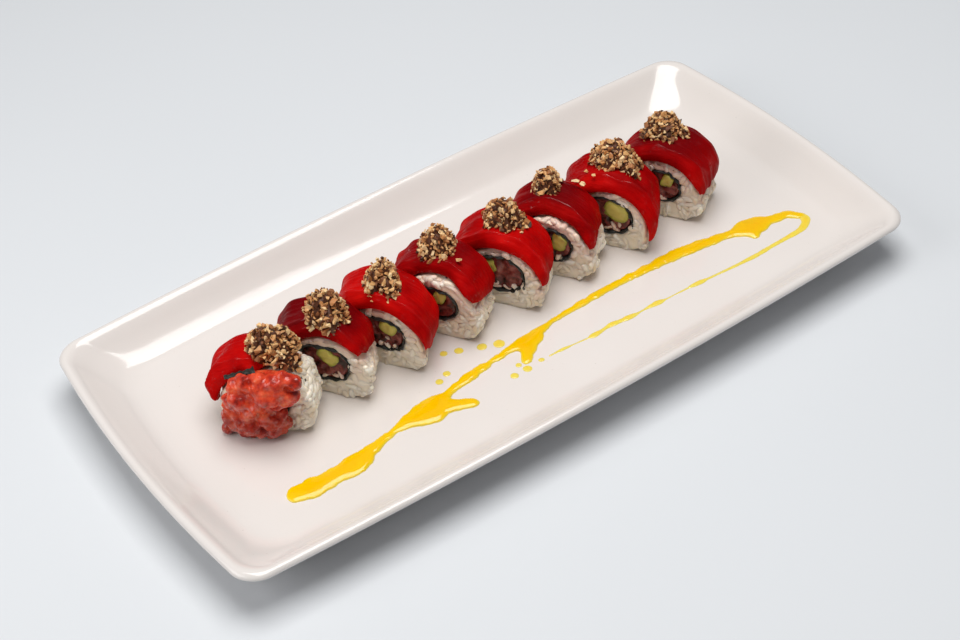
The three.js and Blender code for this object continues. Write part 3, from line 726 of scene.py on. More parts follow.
for number, piece in enumerate(PIECES, 1):
    ring = rice_core(piece, number)
    strew(ring, Shapes=grains, Finish=rice_finish, Spacing=GRAIN_SPACING * MM, Lift=GRAIN_LIFT * MM,
          Tilt=0.3, Smallest=0.78, Largest=1.08, Kinds=4, Seed=number)
    keep_above_floor(ring, PLATE_FLOOR + 0.1)
    slice_flat(ring, piece, number)
    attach(ring, "root")
    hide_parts(f"rice_{number}")

# Nori: the sheet of dried seaweed between rice and filling, seen as a dark wavy ring at each cut.
# It is rolled in one turn and has gone soft and shiny from the damp rice. One end sticks out of the
# first piece, over the cut.
NORI_THICKNESS = 0.5
NORI_SIDES = 72
NORI_RIPPLE = 0.5
NORI_CRUMPLE = 0.3
NORI_RAGGED = 0.6
# The end that sticks out: across, up and its width, and where it lies along the piece
FLAP_ROUTE = [(13.3, 24, 1.4), (6.9, 27, 1.8), (3.1, 28.5, 2.6), (1, 29, 4.6)]
FLAP_ALONG = -9.3
FLAP_RUFFLE = 0.35
FLAP_WIDTH_WAY = np.array([0.4, 0.2, 0.2])
FLAP_SKIN_WAY = np.array([0, 0.12, -0.25])
NORI_COLOUR = (0.006, 0.008, 0.006, 1)
NORI_EDGE = (0.022, 0.026, 0.018, 1)


def nori_sheet(piece, number):
    """The sheet as a closed tube with an outer and an inner skin."""
    angles = round_angles(NORI_SIDES)
    half = piece["length"] / 2 - 0.1
    rings = []

    def sheet_ring(along, inset):
        round_x, round_y = np.cos(angles) * 9, np.sin(angles) * 8
        ripple = NORI_RIPPLE * wavy(round_x, round_y + along * 0.2, 5, number + 40)
        crumpled = NORI_CRUMPLE * wavy(round_x, round_y + inset * 3, 2.6, number + 45)
        across, up = core_point(angles, piece["core"], inset + ripple + crumpled * (inset > GAP))
        ragged = NORI_RAGGED * wavy(round_x, round_y, 3, number + 50)
        at_end = abs(along) > half - 0.2
        rings.append(np.stack([along + np.sign(along) * ragged * at_end, across, up], 1))

    outer, inner = GAP - 0.1, GAP + NORI_THICKNESS
    for along in np.linspace(-half, half, 9):
        sheet_ring(along, outer)
    for along in np.linspace(half, -half, 9):
        sheet_ring(along, inner)
    faces = loft_faces(len(rings), NORI_SIDES, endless=True, flipped=True)
    return make_piece(f"nori_sheet_{number}", on_plate(piece, np.vstack(rings)), faces)


def nori_flap(piece):
    """The ruffled end of the sheet that sticks out over the first cut, between slice and mound."""
    rings = []
    for across, up, wide in smooth_path(FLAP_ROUTE, 8):
        along = FLAP_ALONG + 0.06 * (across - 7) + FLAP_RUFFLE * math.sin(across * 2.1)
        corners = [side * wide * FLAP_WIDTH_WAY + skin * FLAP_SKIN_WAY
                   for side, skin in ((-1, -1), (1, -1), (1, 1), (-1, 1))]
        rings.append(np.array([(along, across, up)]) + np.array(corners))
    faces = loft_faces(len(rings), 4, flipped=True)
    return make_piece("nori_flap", on_plate(piece, np.vstack(rings)), faces)


nori_finish, tree, shader = new_finish("damp_nori", Roughness=0.35, Sheen_Weight=0.1)
place = place_in(tree)
fibres = noise_on(tree, place, 700, 4, 0.7)
tree.links.new(ramp_on(tree, fibres, [(0.35, NORI_COLOUR), (0.75, NORI_EDGE)]), shader.inputs["Base Color"])
tree.links.new(range_on(tree, fibres, 0.3, 0.7, 0.28, 0.55), shader.inputs["Roughness"])
bump_on(tree, shader, fibres, 0.0003, 0.8)
for number, piece in enumerate(PIECES, 1):
    sheet = nori_sheet(piece, number)
    sheet.data.materials.append(nori_finish)
    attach(sheet, "root")
    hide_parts(f"nori_{number}")
flap = nori_flap(PIECES[0])
flap.data.materials.append(nori_finish)
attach(flap, "root")

# Core filling: a piece of ripe avocado in each core and chopped raw tuna mixed with a little rice
# beside it, both running the length of the piece and held by the nori.
FILLING_INSET = 1.25
FILLING_SUNK = 0.7
FILLING_SIDES = 48
CORE_GRAIN_SPACING = 2.6
CORE_GRAIN_LIFT = -0.3
AVOCADO_GREEN = (0.13, 0.17, 0.012, 1)
AVOCADO_MIDDLE = (0.44, 0.42, 0.055, 1)
AVOCADO_YELLOW = (0.66, 0.57, 0.14, 1)
AVOCADO_BROWN = (0.25, 0.20, 0.03, 1)
AVOCADO_SIDES = 32
AVOCADO_SQUARENESS = 0.65
# Painted shade: the filling's tuna has darker copies of the chopped tuna colours used outside the core, for
# the shade inside the core, and its darkest colour stands for the shade between the chunks.
SHADED_FILLING_RED = (0.18, 0.023, 0.018, 1)
SHADED_FILLING_PINK = (0.38, 0.11, 0.085, 1)
FILLING_DEEP_SHADE = (0.045, 0.018, 0.012, 1)


def held_filling(piece, number):
    """Chopped tuna pressed to the form of the core, with sunken, lumpy ends."""
    angles = round_angles(FILLING_SIDES)
    half = piece["length"] / 2 - GAP
    rings = []

    def ring(along, reach):
        across, up = core_point(angles, piece["core"], FILLING_INSET)
        across = -CORE_FORWARD + (across + CORE_FORWARD) * reach
        up = CORE_LEVEL + (up - CORE_LEVEL) * reach
        side = np.sign(along)
        lumps = 0.9 * wavy(across + 20 * side, up, 4, number + 70)
        lumps = lumps + 0.4 * wavy(across + 20 * side, up, 2, number + 75)
        rings.append(np.stack([along + side * lumps * (1 - reach ** 8), across, up], 1))

    end_rows = (0.08, 0.24, 0.4, 0.55, 0.7, 0.84, 0.95)
    for reach in end_rows:
        ring(FILLING_SUNK - half, reach)
    for along in np.linspace(1 - half, half - 1, 7):
        ring(along, 1)
    for reach in reversed(end_rows):
        ring(half - FILLING_SUNK, reach)
    faces = loft_faces(len(rings), FILLING_SIDES, flipped=True)
    points = np.vstack(rings)
    at_cut = smoothstep(np.abs(points[:, 0]), half - 2, half - 1.2)
    low_down = 1 - smoothstep(points[:, 2], 9.5, 12.5)
    return make_piece(f"core_tuna_{number}", on_plate(piece, points), faces, bare=at_cut * low_down,
                      stain=np.full(len(points), 1.0), tint=np.zeros(len(points)))


def avocado_chunk(piece, number):
    """A thick piece of avocado that the nori holds, greener on its lower side, by the skin."""
    middle, level, wide, high, tilt = piece["avocado"]
    lean = math.radians(tilt)
    angles = round_angles(AVOCADO_SIDES)
    half = piece["length"] / 2 - GAP
    rings, rim = [], []

    def ring(along, reach):
        out = -wide * reach * bent(np.cos(angles), AVOCADO_SQUARENESS)
        rise = high * reach * bent(np.sin(angles), AVOCADO_SQUARENESS)
        across = middle + out * math.cos(lean) - rise * math.sin(lean) + CORE_FORWARD
        up = level + out * math.sin(lean) + rise * math.cos(lean) - CORE_LEVEL
        room_across = CORE_HALF_WIDTH * piece["core"] - FILLING_INSET
        room_up = CORE_HALF_HEIGHT * piece["core"] - FILLING_INSET
        fullness = np.abs(across / room_across) ** CORE_POWER + np.abs(up / room_up) ** CORE_POWER
        squeezed = np.maximum(fullness, 1) ** (-1 / CORE_POWER)
        across, up = across * squeezed - CORE_FORWARD, up * squeezed + CORE_LEVEL
        uneven = 0.3 * wavy(across + along, up, 3.5, number + 60)
        at_end = abs(along) > half - 1
        rings.append(np.stack([along + np.sign(along) * uneven * at_end, across + uneven * 0.6, up], 1))
        rim.append(smoothstep(reach, 0.5, 1) * (0.2 + 0.8 * (0.5 - 0.5 * np.sin(angles))))

    end_rows = (0.1, 0.35, 0.6, 0.8, 0.93)
    for reach in end_rows:
        ring(-half - 0.5 * (1 - reach ** 3), reach)
    for along in np.linspace(0.4 - half, half - 0.4, 7):
        ring(along, 1)
    for reach in reversed(end_rows):
        ring(half + 0.5 * (1 - reach ** 3), reach)
    faces = loft_faces(len(rings), AVOCADO_SIDES, flipped=True)
    points = on_plate(piece, np.vstack(rings))
    return make_piece(f"avocado_chunk_{number}", points, faces, rim=np.concatenate(rim))


avocado_finish, tree, shader = new_finish(
    "ripe_avocado", Roughness=0.42, Specular_IOR_Level=0.35, Subsurface_Weight=0.3, Subsurface_Scale=0.0015,
    Subsurface_Radius=(1.0, 0.9, 0.25))
place = place_in(tree)
flesh = noise_on(tree, place, 260, 4)
core_to_skin = ramp_on(tree, field_on(tree, "rim"), [
    (0.0, AVOCADO_YELLOW), (0.55, AVOCADO_MIDDLE), (1, AVOCADO_GREEN)])
browned = range_on(tree, flesh, 0.45, 0.75, 0, 0.3)
tree.links.new(mix_on(tree, browned, core_to_skin, AVOCADO_BROWN), shader.inputs["Base Color"])
bump_on(tree, shader, flesh, 0.0006, 0.5)

shaded_filling_finish, tree, shader = new_finish(
    "core_tuna", Roughness=0.4, Specular_IOR_Level=0.3, Subsurface_Weight=0.2, Subsurface_Scale=0.0015,
    Subsurface_Radius=(1.0, 0.25, 0.15), Coat_Weight=0.2, Coat_Roughness=0.15)
place = place_in(tree)
chunks = noise_on(tree, place, 230, 3)
# Painted shade: dark copies of the chopped tuna colours, with the darkest patches as shade between the
# chunks.
tree.links.new(ramp_on(tree, chunks, [(0.36, FILLING_DEEP_SHADE), (0.48, SHADED_FILLING_RED), (0.66, SHADED_FILLING_PINK)]),
               shader.inputs["Base Color"])
bump_on(tree, shader, noise_on(tree, place, 420, 3), 0.0008, 0.6)
for number, piece in enumerate(PIECES, 1):
    avocado = avocado_chunk(piece, number)
    avocado.data.materials.append(avocado_finish)
    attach(avocado, "root")
    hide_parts(f"avocado_{number}")
    filling = held_filling(piece, number)
    core_rice = bpy.data.objects.new(f"core_rice_{number}", filling.data.copy())
    bpy.context.scene.collection.objects.link(core_rice)
    strew(core_rice, Shapes=grains, Finish=rice_finish, Spacing=CORE_GRAIN_SPACING * MM,
          Lift=CORE_GRAIN_LIFT * MM, Tilt=0.5, Smallest=0.6, Largest=0.85, Kinds=4, Seed=number + 70,
          Keep_Core=False)
    slice_flat(core_rice, piece, number)
    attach(core_rice, "root")
    filling.data.materials.append(shaded_filling_finish)
    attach(filling, "root")
    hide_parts(f"tuna_filling_{number}")

clear_shelf(grains)

# Tuna slices: raw red tuna cut across the grain, one draped over each piece of the roll.
# Each hangs down both flanks, thick on the crown and thin at its edges and ragged ends, and is moist.
SLICE_THICKNESS = 6.2
SLICE_TIP = 1.1
SLICE_TAPER = 0.75
SLICE_GAP = 0.6
SLICE_STEPS = 110
SLICE_EDGE = 0.07
CREASE_AT = -0.7
CREASE_SWAY = 0.1
CREASE_WIDTH = 0.035
CREASE_RISE = 0.22
FLESH_LENGTH = 62
# The deepest red is painted shade, laid on the top of each slice's crown.
TUNA_CROWN_SHADE = (0.10, 0.0004, 0.002, 1)
TUNA_DARK = (0.30, 0.0006, 0.001, 1)
TUNA_RED = (0.47, 0.001, 0.0012, 1)
TUNA_BRIGHT = (0.66, 0.005, 0.003, 1)
TUNA_SINEW = (0.66, 0.05, 0.035, 1)


def slice_outline():
    """Once round the slice's section: along it from -1 to 1 and from its underside, -1, to its top, 1."""
    half_turn = np.linspace(-math.pi / 2, math.pi / 2, 9)
    top = np.linspace(1 - SLICE_EDGE, SLICE_EDGE - 1, 57)[1:-1]
    under = np.linspace(SLICE_EDGE - 1, 1 - SLICE_EDGE, 11)[1:-1]
    rounded = 1 - SLICE_EDGE + SLICE_EDGE * np.cos(half_turn)
    reach = np.concatenate([rounded, top, -rounded, under])
    upwards = np.sin(half_turn)
    rise = np.concatenate([upwards, np.ones(len(top)), upwards[::-1], -np.ones(len(under))])
    return reach, rise


def tuna_slice(piece, number):
    """A strip over the crown: rings round the strip from the front end to the back end."""
    reach, rise = slice_outline()
    count = len(reach)
    far = piece["length"] / 2 + SLICE_OVERHANG
    over = smoothstep(rise, 0.1, 0.8)
    rings, grain_across, grain_down, crown_shade, creases = [], [], [], [], []
    for step in range(SLICE_STEPS + 1):
        share = step / SLICE_STEPS
        tip = min(share, 1 - share)
        middle_front, middle_back = slice_ends(piece, 0.0)
        near = near_edge_of_slice(piece, math.radians(middle_front + (middle_back - middle_front) * share))
        narrow = 1 - 0.1 * (1 - smoothstep(tip, 0, 0.12)) - 0.35 * (1 - smoothstep(tip, 0, 0.01))
        sway = 0.5 * wavy(np.full(count, share * 40.0), np.full(count, 3.0), 13, number + 84)
        along = (near + far) / 2 + (far - near) / 2 * reach * narrow + sway * np.abs(reach) ** 3
        front, back = slice_ends(piece, along)
        ragged = 2.6 * wavy(along, np.full(count, 7.0), 6, number + 90)
        ragged = ragged + 1.2 * wavy(along, np.full(count, 9.0), 2.2, number + 92)
        corner = 4 * np.abs(reach) ** 6
        front = front + np.where(share < 0.5, ragged + corner, 0) * (1 - 2 * min(share, 0.5))
        back = back + np.where(share < 0.5, 0, ragged - corner) * (1 - 2 * min(1 - share, 0.5))
        angle = np.radians(front + (back - front) * share)
        thick = SLICE_TIP + (SLICE_THICKNESS - SLICE_TIP) * math.sin(math.pi * share) ** SLICE_TAPER
        thick = thick * (1 if tip > 0.02 else math.sqrt(1 - (1 - tip / 0.02) ** 2 * 0.85))
        crease_waves = wavy(np.full(count, share * 50.0), np.full(count, 1.0), 16, number + 86)
        crease_at = CREASE_AT + CREASE_SWAY * crease_waves
        beyond = np.clip((crease_at - reach) / (1 + crease_at), 0, 1)
        crowned = 1 - 0.5 * beyond - 0.45 * smoothstep(reach, 0.5, 1)
        crease = np.exp(-((reach - crease_at) / CREASE_WIDTH) ** 2) * over * smoothstep(tip, 0.06, 0.16)
        soft = 0.42 * wavy(along, np.full(count, share * 60.0), 10, number + 100)
        ridges = 0.1 * wavy(along, np.full(count, share * 8.0), 2.0, number + 110)
        lift = SLICE_GAP - 0.25 + thick * (0.5 + 0.5 * rise) * crowned
        lift = lift + over * (soft * min(1, thick / 4) + ridges + CREASE_RISE * crease)
        across, up = section_point(angle, RICE_HALF_WIDTH + lift, RICE_HEIGHT + lift)
        rings.append(np.stack([along, across, up], 1))
        grain_across.append(along)
        grain_down.append(np.full(count, share * FLESH_LENGTH))
        # Painted shade and light: the crown field darkens the top of the crown and leaves the near facet,
        # the far edge and the hanging ends lighter, for how the overhead light falls.
        on_crown = 1 - smoothstep(abs(share - 0.5), 0.1, 0.4)
        edges = 0.45 * smoothstep(crease_at - reach, -0.03, 0.08) + 0.4 * smoothstep(reach, 0.8, 1)
        crown_shade.append((0.35 + 0.65 * on_crown) * (1 - edges) * piece["tone"])
        creases.append(crease)
    points = on_plate(piece, np.vstack(rings))
    points[:, 2] = np.maximum(points[:, 2], PLATE_FLOOR + 0.2)
    faces = loft_faces(len(rings), count, flipped=True)
    made = make_piece(f"tuna_drape_{number}", points, faces,
                      crown=np.concatenate(crown_shade), crease=np.concatenate(creases))
    layer = made.data.uv_layers.new(name="flesh")
    pairs = np.stack([np.concatenate(grain_across), np.concatenate(grain_down)], 1) * 0.01 + number * 0.37
    corners = np.zeros(len(made.data.loops), np.int32)
    made.data.loops.foreach_get("vertex_index", corners)
    layer.data.foreach_set("uv", pairs[corners].astype(np.float32).ravel())
    return made


tuna_finish, tree, shader = new_finish(
    "moist_tuna", Roughness=0.5, Subsurface_Weight=0.15, Subsurface_Scale=0.002,
    Subsurface_Radius=(1.0, 0.1, 0.06), Specular_IOR_Level=0.03, Coat_Roughness=0.08)
fibre_place = place_in(tree, (1.0, 0.11, 1.0), "flesh")
fibres = noise_on(tree, fibre_place, 95, 4, 0.6)
sinews = noise_on(tree, fibre_place, 42, 2, 0.5)
patches = noise_on(tree, place_in(tree), 70, 3)
body = ramp_on(tree, patches, [(0.3, TUNA_DARK), (0.5, TUNA_RED), (0.75, TUNA_BRIGHT)])
streaked = mix_on(tree, range_on(tree, fibres, 0.5, 0.8, 0, 0.4), body, TUNA_BRIGHT)
# Painted shade: where the crown field is high, on the top of the crown, the slice is mixed towards the
# deepest red.
crown_shaded = mix_on(tree, range_on(tree, field_on(tree, "crown"), 0.05, 1, 0, 0.85), streaked, TUNA_CROWN_SHADE)
pale = range_on(tree, sinews, 0.68, 0.76, 0, 0.2)
tree.links.new(mix_on(tree, pale, crown_shaded, TUNA_SINEW), shader.inputs["Base Color"])
wet_place = place_in(tree, (1.0, 0.35, 1.0), "flesh")
flecks = range_on(tree, noise_on(tree, wet_place, 160, 4, 0.75), 0.55, 0.62)
wet_parts = range_on(tree, noise_on(tree, place_in(tree), 120, 2), 0.46, 0.58)
broken = range_on(tree, fibres, 0.45, 0.6, 0.1, 0.9)
wet_crease = math_on(tree, "MULTIPLY", field_on(tree, "crease"), broken)
wet = math_on(tree, "MAXIMUM", math_on(tree, "MULTIPLY", flecks, wet_parts), wet_crease)
tree.links.new(range_on(tree, wet, 0, 1, 0, 0.8), shader.inputs["Coat Weight"])
bump_on(tree, shader, fibres, 0.0009, 0.5)
for number, piece in enumerate(PIECES, 1):
    drape = tuna_slice(piece, number)
    drape.data.materials.append(tuna_finish)
    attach(drape, "root")
    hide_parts(f"tuna_slice_{number}")

# Nut crumble: a small heap of toasted nuts on each slice, crushed to bits of 1 to 5 mm over a dark dome
# that is painted shade in the gaps between them. Pale kernels, tan broken faces and dark brown skins lie
# mixed.
CRUMB_SIZES = (1.5, 1.8, 2.1, 2.4, 2.7, 3.0, 3.5, 4.2)
CRUMB_SPACING = 1
CRUMB_LIFT = 0.8
HEAP_RISE = 7.2
HEAP_INSET = 1.9
HEAP_SIDES = 40
# The darkest colour is the nuts' dark skins, and also painted shade on the dome between the crumbs.
NUT_DARK_SKIN_AND_SHADE = (0.05, 0.014, 0.005, 1)
NUT_BROWN = (0.18, 0.055, 0.018, 1)
NUT_TAN = (0.50, 0.20, 0.065, 1)
NUT_PALE = (0.78, 0.43, 0.17, 1)
NUT_CREAM = (0.94, 0.68, 0.37, 1)
# Loose bits on the slices: the piece, along and across it, the size and how long the bit is for its size
LOOSE_NUTS = [
    (6, 8.2, -7.2, 3.4, 1.3), (6, 8.8, -10.2, 3, 1.2), (7, -6.6, 8.8, 2.4, 1), (7, -9.6, 5, 2.2, 1),
    (4, -2.4, -9.2, 3, 1), (5, 1, -10.1, 3, 2.3), (4, 3.8, -5.6, 2.4, 1.1), (7, -0.2, -10.8, 2.6, 1),
    (7, 5.4, -10.8, 2.2, 1.1), (1, -4.4, -7.8, 4.2, 1.7), (1, -8.4, -6.4, 3.2, 1.9),
    (1, -7.2, -3.2, 2.2, 1), (5, -3.4, -9.4, 2, 1), (3, -7.6, -6.6, 2, 1), (2, -8.2, -3, 2.6, 1.2),
    (8, 1.2, -8.2, 2, 1),
]


def slice_top(across):
    """How high the slice's top lies at that place across a piece."""
    half_width = RICE_HALF_WIDTH + SLICE_GAP + SLICE_THICKNESS
    crown = RICE_HEIGHT + SLICE_GAP + SLICE_THICKNESS
    power = np.where(across < 0, FRONT_CROWN_POWER, BACK_CROWN_POWER)
    rise = np.maximum(0, 1 - np.abs(across / half_width) ** power) ** (1 / power)
    return GAP + crown * WAIST + crown * (1 - WAIST) * rise


def broken_nut(shape, size, stretch, random, place):
    """Adds one broken bit of nut to a mesh under way: a closed hull of a few points."""
    corners = random.normal(size=(9, 3))
    corners = corners / np.linalg.norm(corners, axis=1)[:, None] * random.uniform(0.8, 1, (9, 1))
    fresh = [shape.verts.new(place @ Vector(corner)) for corner in corners * stretch * size / 2 * MM]
    hull = bmesh.ops.convex_hull(shape, input=fresh)
    loose = [part for part in hull["geom_interior"] if isinstance(part, bmesh.types.BMVert)]
    bmesh.ops.delete(shape, geom=loose, context="VERTS")


def finished_shape(shape, name, shelf):
    """The object that a mesh under way becomes, put on a shelf."""
    mesh = bpy.data.meshes.new(name)
    shape.to_mesh(mesh)
    shape.free()
    made = bpy.data.objects.new(name, mesh)
    shelf.objects.link(made)
    return made


def crumb_shapes():
    """Broken bits of nut from small to large, as closed hulls."""
    shelf = bpy.data.collections.new("crumb_shapes")
    bpy.context.scene.collection.children.link(shelf)
    random = np.random.default_rng(17)
    for index, size in enumerate(CRUMB_SIZES):
        shape = bmesh.new()
        broken_nut(shape, size, random.uniform(0.6, 1.2, 3), random, Matrix())
        bmesh.ops.recalc_face_normals(shape, faces=shape.faces)
        finished_shape(shape, f"crumb_{index}", shelf)
    return shelf


def heap_core(piece, number):
    """A low uneven dome on the slice under the crumbs, coloured near the darkest nut colour as painted shade
    in the gaps between them.
    """
    along, across = piece["heap"]
    half_along, half_across = piece["heap_half"]
    turn = round_angles(HEAP_SIDES)
    rings, bare = [], []
    rows = [(1.0, -0.6)] + [(reach, 1 - reach ** 2.2) for reach in (1.0, 0.9, 0.76, 0.6, 0.44, 0.28, 0.1)]
    for reach, rise in rows:
        uneven = 1 + 0.24 * wavy(np.cos(turn) * 8, np.sin(turn) * 8, 7, number + 120)
        x = along + (half_along - HEAP_INSET) * reach * uneven * np.cos(turn)
        y = across + (half_across - HEAP_INSET) * reach * uneven * np.sin(turn)
        lumpy = 1.5 * wavy(x, y, 5, number + 130) * (1 - 0.8 * reach)
        rings.append(np.stack([x, y, slice_top(y) + HEAP_RISE * rise + lumpy - 0.3], 1))
        bare.append(np.full(HEAP_SIDES, 1.0 if rise >= 0 else 0.6))
    points = np.vstack(rings)
    faces = loft_faces(len(rings), HEAP_SIDES)
    # Painted shade: the dome's low tint gives it the darkest nut colour, for the shade between the crumbs.
    return make_piece(f"nut_heap_{number}", on_plate(piece, points), faces, smooth=False,
                      bare=np.concatenate(bare), tint=np.full(len(points), 0.05))


def loose_nuts():
    """Single bits that rolled off the heaps, each resting on its slice."""
    shape = bmesh.new()
    tints = []
    random = np.random.default_rng(23)
    for number, along, across, size, long in LOOSE_NUTS:
        piece = PIECES[number - 1]
        spot = on_plate(piece, [(along, across, slice_top(np.array(across)) + 0.26 * size - 0.3)])[0] * MM
        turn = Matrix.Rotation(random.uniform(0, math.pi), 4, "Z")
        lean = Matrix.Rotation(random.uniform(-0.3, 0.3), 4, "X")
        before = len(shape.verts)
        seat = Matrix.Translation(spot) @ turn @ lean
        broken_nut(shape, size, np.array([long, 0.9, 0.7]), random, seat)
        tints += [random.uniform(0.6, 1)] * (len(shape.verts) - before)
    bmesh.ops.recalc_face_normals(shape, faces=shape.faces)
    made = finished_shape(shape, "loose_nuts", bpy.context.scene.collection)
    set_field(made.data, "tint", tints)
    return made


nut_finish, tree, shader = new_finish(
    "toasted_nuts", Roughness=0.5, Subsurface_Weight=0.12, Subsurface_Scale=0.001,
    Subsurface_Radius=(1.0, 0.6, 0.3), Specular_IOR_Level=0.35, Coat_Weight=0.1, Coat_Roughness=0.25)
place = place_in(tree)
kind = ramp_on(tree, field_on(tree, "tint"), [
    (0.0, NUT_DARK_SKIN_AND_SHADE), (0.14, NUT_BROWN), (0.3, NUT_TAN), (0.66, NUT_PALE), (1, NUT_CREAM)])
toast = noise_on(tree, place, 520, 3)
browned = range_on(tree, toast, 0.52, 0.75, 0, 0.6)
tree.links.new(mix_on(tree, browned, kind, NUT_BROWN), shader.inputs["Base Color"])
tree.links.new(range_on(tree, toast, 0.3, 0.7, 0.35, 0.6), shader.inputs["Roughness"])
bump_on(tree, shader, noise_on(tree, place, 1100, 3), 0.0004, 0.7)
crumbs = crumb_shapes()
for number, piece in enumerate(PIECES, 1):
    heap = heap_core(piece, number)
    strew(heap, Shapes=crumbs, Finish=nut_finish, Spacing=CRUMB_SPACING * MM, Lift=CRUMB_LIFT * MM,
          Tilt=1.5, Smallest=0.75, Largest=1.2, Kinds=len(CRUMB_SIZES) - 1, Seed=number + 30)
    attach(heap, "root")
    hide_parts(f"nut_crumble_{number}")
clear_shelf(crumbs)
bits = loose_nuts()
bits.data.materials.append(nut_finish)
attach(bits, "root")

# Chopped tuna: coral red raw tuna cut small and pressed against the first piece's cut. A ledge
# bulges over its middle, and lumps hang below it down to the plate, darker towards the plate as painted
# shade under the ledge.
# Each part of the mound: its middle out of the cut, across and up, its radii and its tilt
MOUND_LEDGE = ((-0.5, -2.2, 22.4), (7.4, 15.4, 7.8), -20)
MOUND_FOOT = ((-0.3, 1.2, 8.6), (6.2, 11.6, 9), 0)
MOUND_CLEARANCE = 0.7
MOUND_CORE = 0.88
LUMP_COUNT = 75
LUMP_RADII = (1.2, 3.6)
MOUND_VOXEL = 0.45
# The darkest colour is both the deep red bits of the flesh and painted shade under the ledge.
CHOPPED_DARK_AND_SHADE = (0.20, 0.010, 0.006, 1)
CHOPPED_RED = (0.52, 0.028, 0.012, 1)
CHOPPED_CORAL = (0.78, 0.082, 0.028, 1)
CHOPPED_PALE = (0.90, 0.23, 0.10, 1)


def chopped_mound(piece):
    """Lumps of flesh over a ledge and a foot, melted into one skin, with how low each point lies, for the
    painted shade under the ledge.
    """
    face = -piece["length"] / 2 - MOUND_CLEARANCE
    random = np.random.default_rng(140)
    shape = bmesh.new()
    on_piece = Matrix.Translation((piece["x"], piece["y"], PLATE_FLOOR))
    on_piece = Matrix.Scale(MM, 4) @ on_piece @ Matrix.Rotation(math.radians(piece["turn"]), 4, "Z")

    def lump(place, radii, detail):
        size = Matrix.Diagonal((*radii, 1))
        bmesh.ops.create_icosphere(shape, subdivisions=detail, radius=1, matrix=on_piece @ place @ size)

    for (out, across, up), radii, tilt in (MOUND_LEDGE, MOUND_FOOT):
        seat = Matrix.Translation((face + out, across, up)) @ Matrix.Rotation(math.radians(tilt), 4, "X")
        lump(seat, [MOUND_CORE * radius for radius in radii], 3)
        for _ in range(LUMP_COUNT):
            turn = random.uniform(0.02, 0.98) * math.pi
            rise = random.uniform(-0.9, 0.97)
            flat = math.sqrt(1 - rise ** 2)
            spot = (-radii[0] * flat * math.sin(turn) * 0.9, radii[1] * flat * math.cos(turn) * 0.95,
                    radii[2] * rise * 0.93)
            spin = Matrix.Rotation(random.uniform(0, math.pi), 4, Vector(random.normal(size=3)))
            lump(seat @ Matrix.Translation(spot) @ spin, random.uniform(*LUMP_RADII, 3), 2)
    lump(Matrix.Translation((face - 2.4, 12.6, 2.4)), (2.6, 2.6, 2.8), 2)
    made = finished_shape(shape, "chopped_mound", bpy.context.scene.collection)
    melted = made.modifiers.new("melted", "REMESH")
    melted.mode = "VOXEL"
    melted.voxel_size = MOUND_VOXEL * MM
    eased = made.modifiers.new("eased", "SMOOTH")
    eased.factor = 0.5
    eased.iterations = 8
    keep_result(made)
    made.data.polygons.foreach_set("use_smooth", [True] * len(made.data.polygons))
    keep_above_floor(made, PLATE_FLOOR + 0.1)
    # Painted shade: the low field marks the lumps under the ledge for darkening.
    set_field(made.data, "low", 1 - smoothstep(points_of(made)[:, 2] / MM - PLATE_FLOOR, 9, 16))
    return made


chopped_finish, tree, shader = new_finish(
    "chopped_tuna", Roughness=0.35, Subsurface_Weight=0.25, Subsurface_Scale=0.002,
    Subsurface_Radius=(1.0, 0.3, 0.2), Specular_IOR_Level=0.15, Coat_Roughness=0.06)
place = place_in(tree)
bits_of_flesh = noise_on(tree, place, 190, 4)
flesh = ramp_on(tree, bits_of_flesh, [
    (0.3, CHOPPED_DARK_AND_SHADE), (0.42, CHOPPED_RED), (0.56, CHOPPED_CORAL), (0.76, CHOPPED_PALE)])
# Painted shade: the lower lumps are mixed towards the darkest colour, as the shade under the ledge.
shaded = mix_on(tree, range_on(tree, field_on(tree, "low"), 0, 1, 0, 0.55), flesh, CHOPPED_DARK_AND_SHADE)
tree.links.new(shaded, shader.inputs["Base Color"])
glints = range_on(tree, noise_on(tree, place, 420, 3), 0.45, 0.55, 0.1, 1)
tree.links.new(glints, shader.inputs["Coat Weight"])
bump_on(tree, shader, noise_on(tree, place, 620, 3), 0.0008, 0.8)
mound = chopped_mound(PIECES[0])
mound.data.materials.append(chopped_finish)
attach(mound, "root")
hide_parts("chopped_tuna")

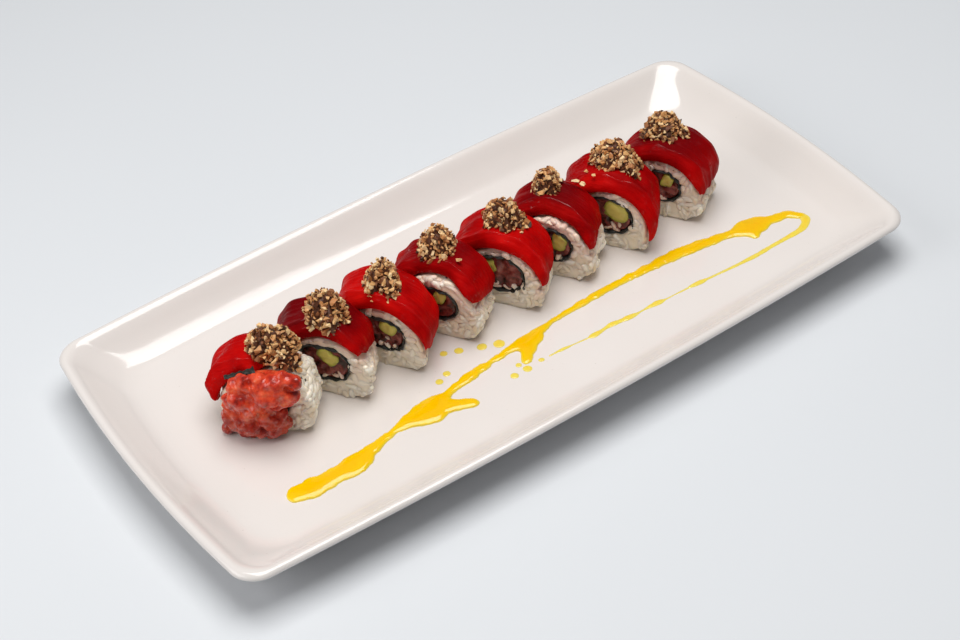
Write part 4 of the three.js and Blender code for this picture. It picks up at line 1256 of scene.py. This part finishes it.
# Studio: a plain pale table, one large soft light overhead, a weaker one from the left and a fill
# from all round. The camera stands where the photograph's did.
bpy.ops.mesh.primitive_plane_add(size=8, location=(0, 0, 0))
table = bpy.context.object
table.name = "table"
TABLE_COLOURS = ((0.70, 0.725, 0.755, 1), (0.715, 0.74, 0.77, 1))
table_finish, tree, shader = new_finish("pale_table", Roughness=0.55, Specular_IOR_Level=0.25)
mottle = noise_on(tree, place_in(tree), 3, 2)
surface = ramp_on(tree, mottle, [(0.3, TABLE_COLOURS[0]), (0.7, TABLE_COLOURS[1])])
tree.links.new(surface, shader.inputs["Base Color"])
table.data.materials.append(table_finish)

world = bpy.data.worlds.new("studio")
bpy.context.scene.world = world
world.use_nodes = True
surround = world.node_tree.nodes["Background"]
surround.inputs["Color"].default_value = (0.93, 0.96, 1, 1)
surround.inputs["Strength"].default_value = 0.17


def soft_light(name, place, target, size, power, colour):
    """A rectangular light of that size in metres, turned to its target."""
    light = bpy.data.lights.new(name, "AREA")
    light.shape = "RECTANGLE"
    light.size, light.size_y = size
    light.energy = power
    light.color = colour
    lamp = bpy.data.objects.new(name, light)
    lamp.location = place
    lamp.rotation_euler = (Vector(target) - Vector(place)).to_track_quat("-Z", "Y").to_euler()
    bpy.context.scene.collection.objects.link(lamp)


soft_light("overhead", (0.06, -0.01, 1.0), (0, 0, 0), (0.75, 0.7), 9.5, (1, 0.985, 0.965))
soft_light("left_fill", (-0.7, 0.12, 0.5), (-0.1, 0, 0), (0.5, 0.5), 2.1, (1, 0.985, 0.97))

CAMERA_TARGET = Vector((-0.01494, -0.01572, 0.020))
CAMERA_DISTANCE = 0.7249
CAMERA_AZIMUTH = math.radians(-31.8)
CAMERA_ELEVATION = math.radians(41.89)
CAMERA_ROLL = math.radians(-5.05)
camera = bpy.data.objects.new("camera", bpy.data.cameras.new("camera"))
bpy.context.scene.collection.objects.link(camera)
back = Vector((math.sin(CAMERA_AZIMUTH) * math.cos(CAMERA_ELEVATION),
               -math.cos(CAMERA_AZIMUTH) * math.cos(CAMERA_ELEVATION), math.sin(CAMERA_ELEVATION)))
camera.location = CAMERA_TARGET + back * CAMERA_DISTANCE
level_turn = (-back).to_track_quat("-Z", "Y").to_matrix().to_4x4()
camera.rotation_euler = (level_turn @ Matrix.Rotation(CAMERA_ROLL, 4, "Z")).to_euler()
camera.data.sensor_width = 36
camera.data.lens = 72.33
bpy.context.scene.camera = camera
bpy.context.scene.view_settings.view_transform = "Standard"
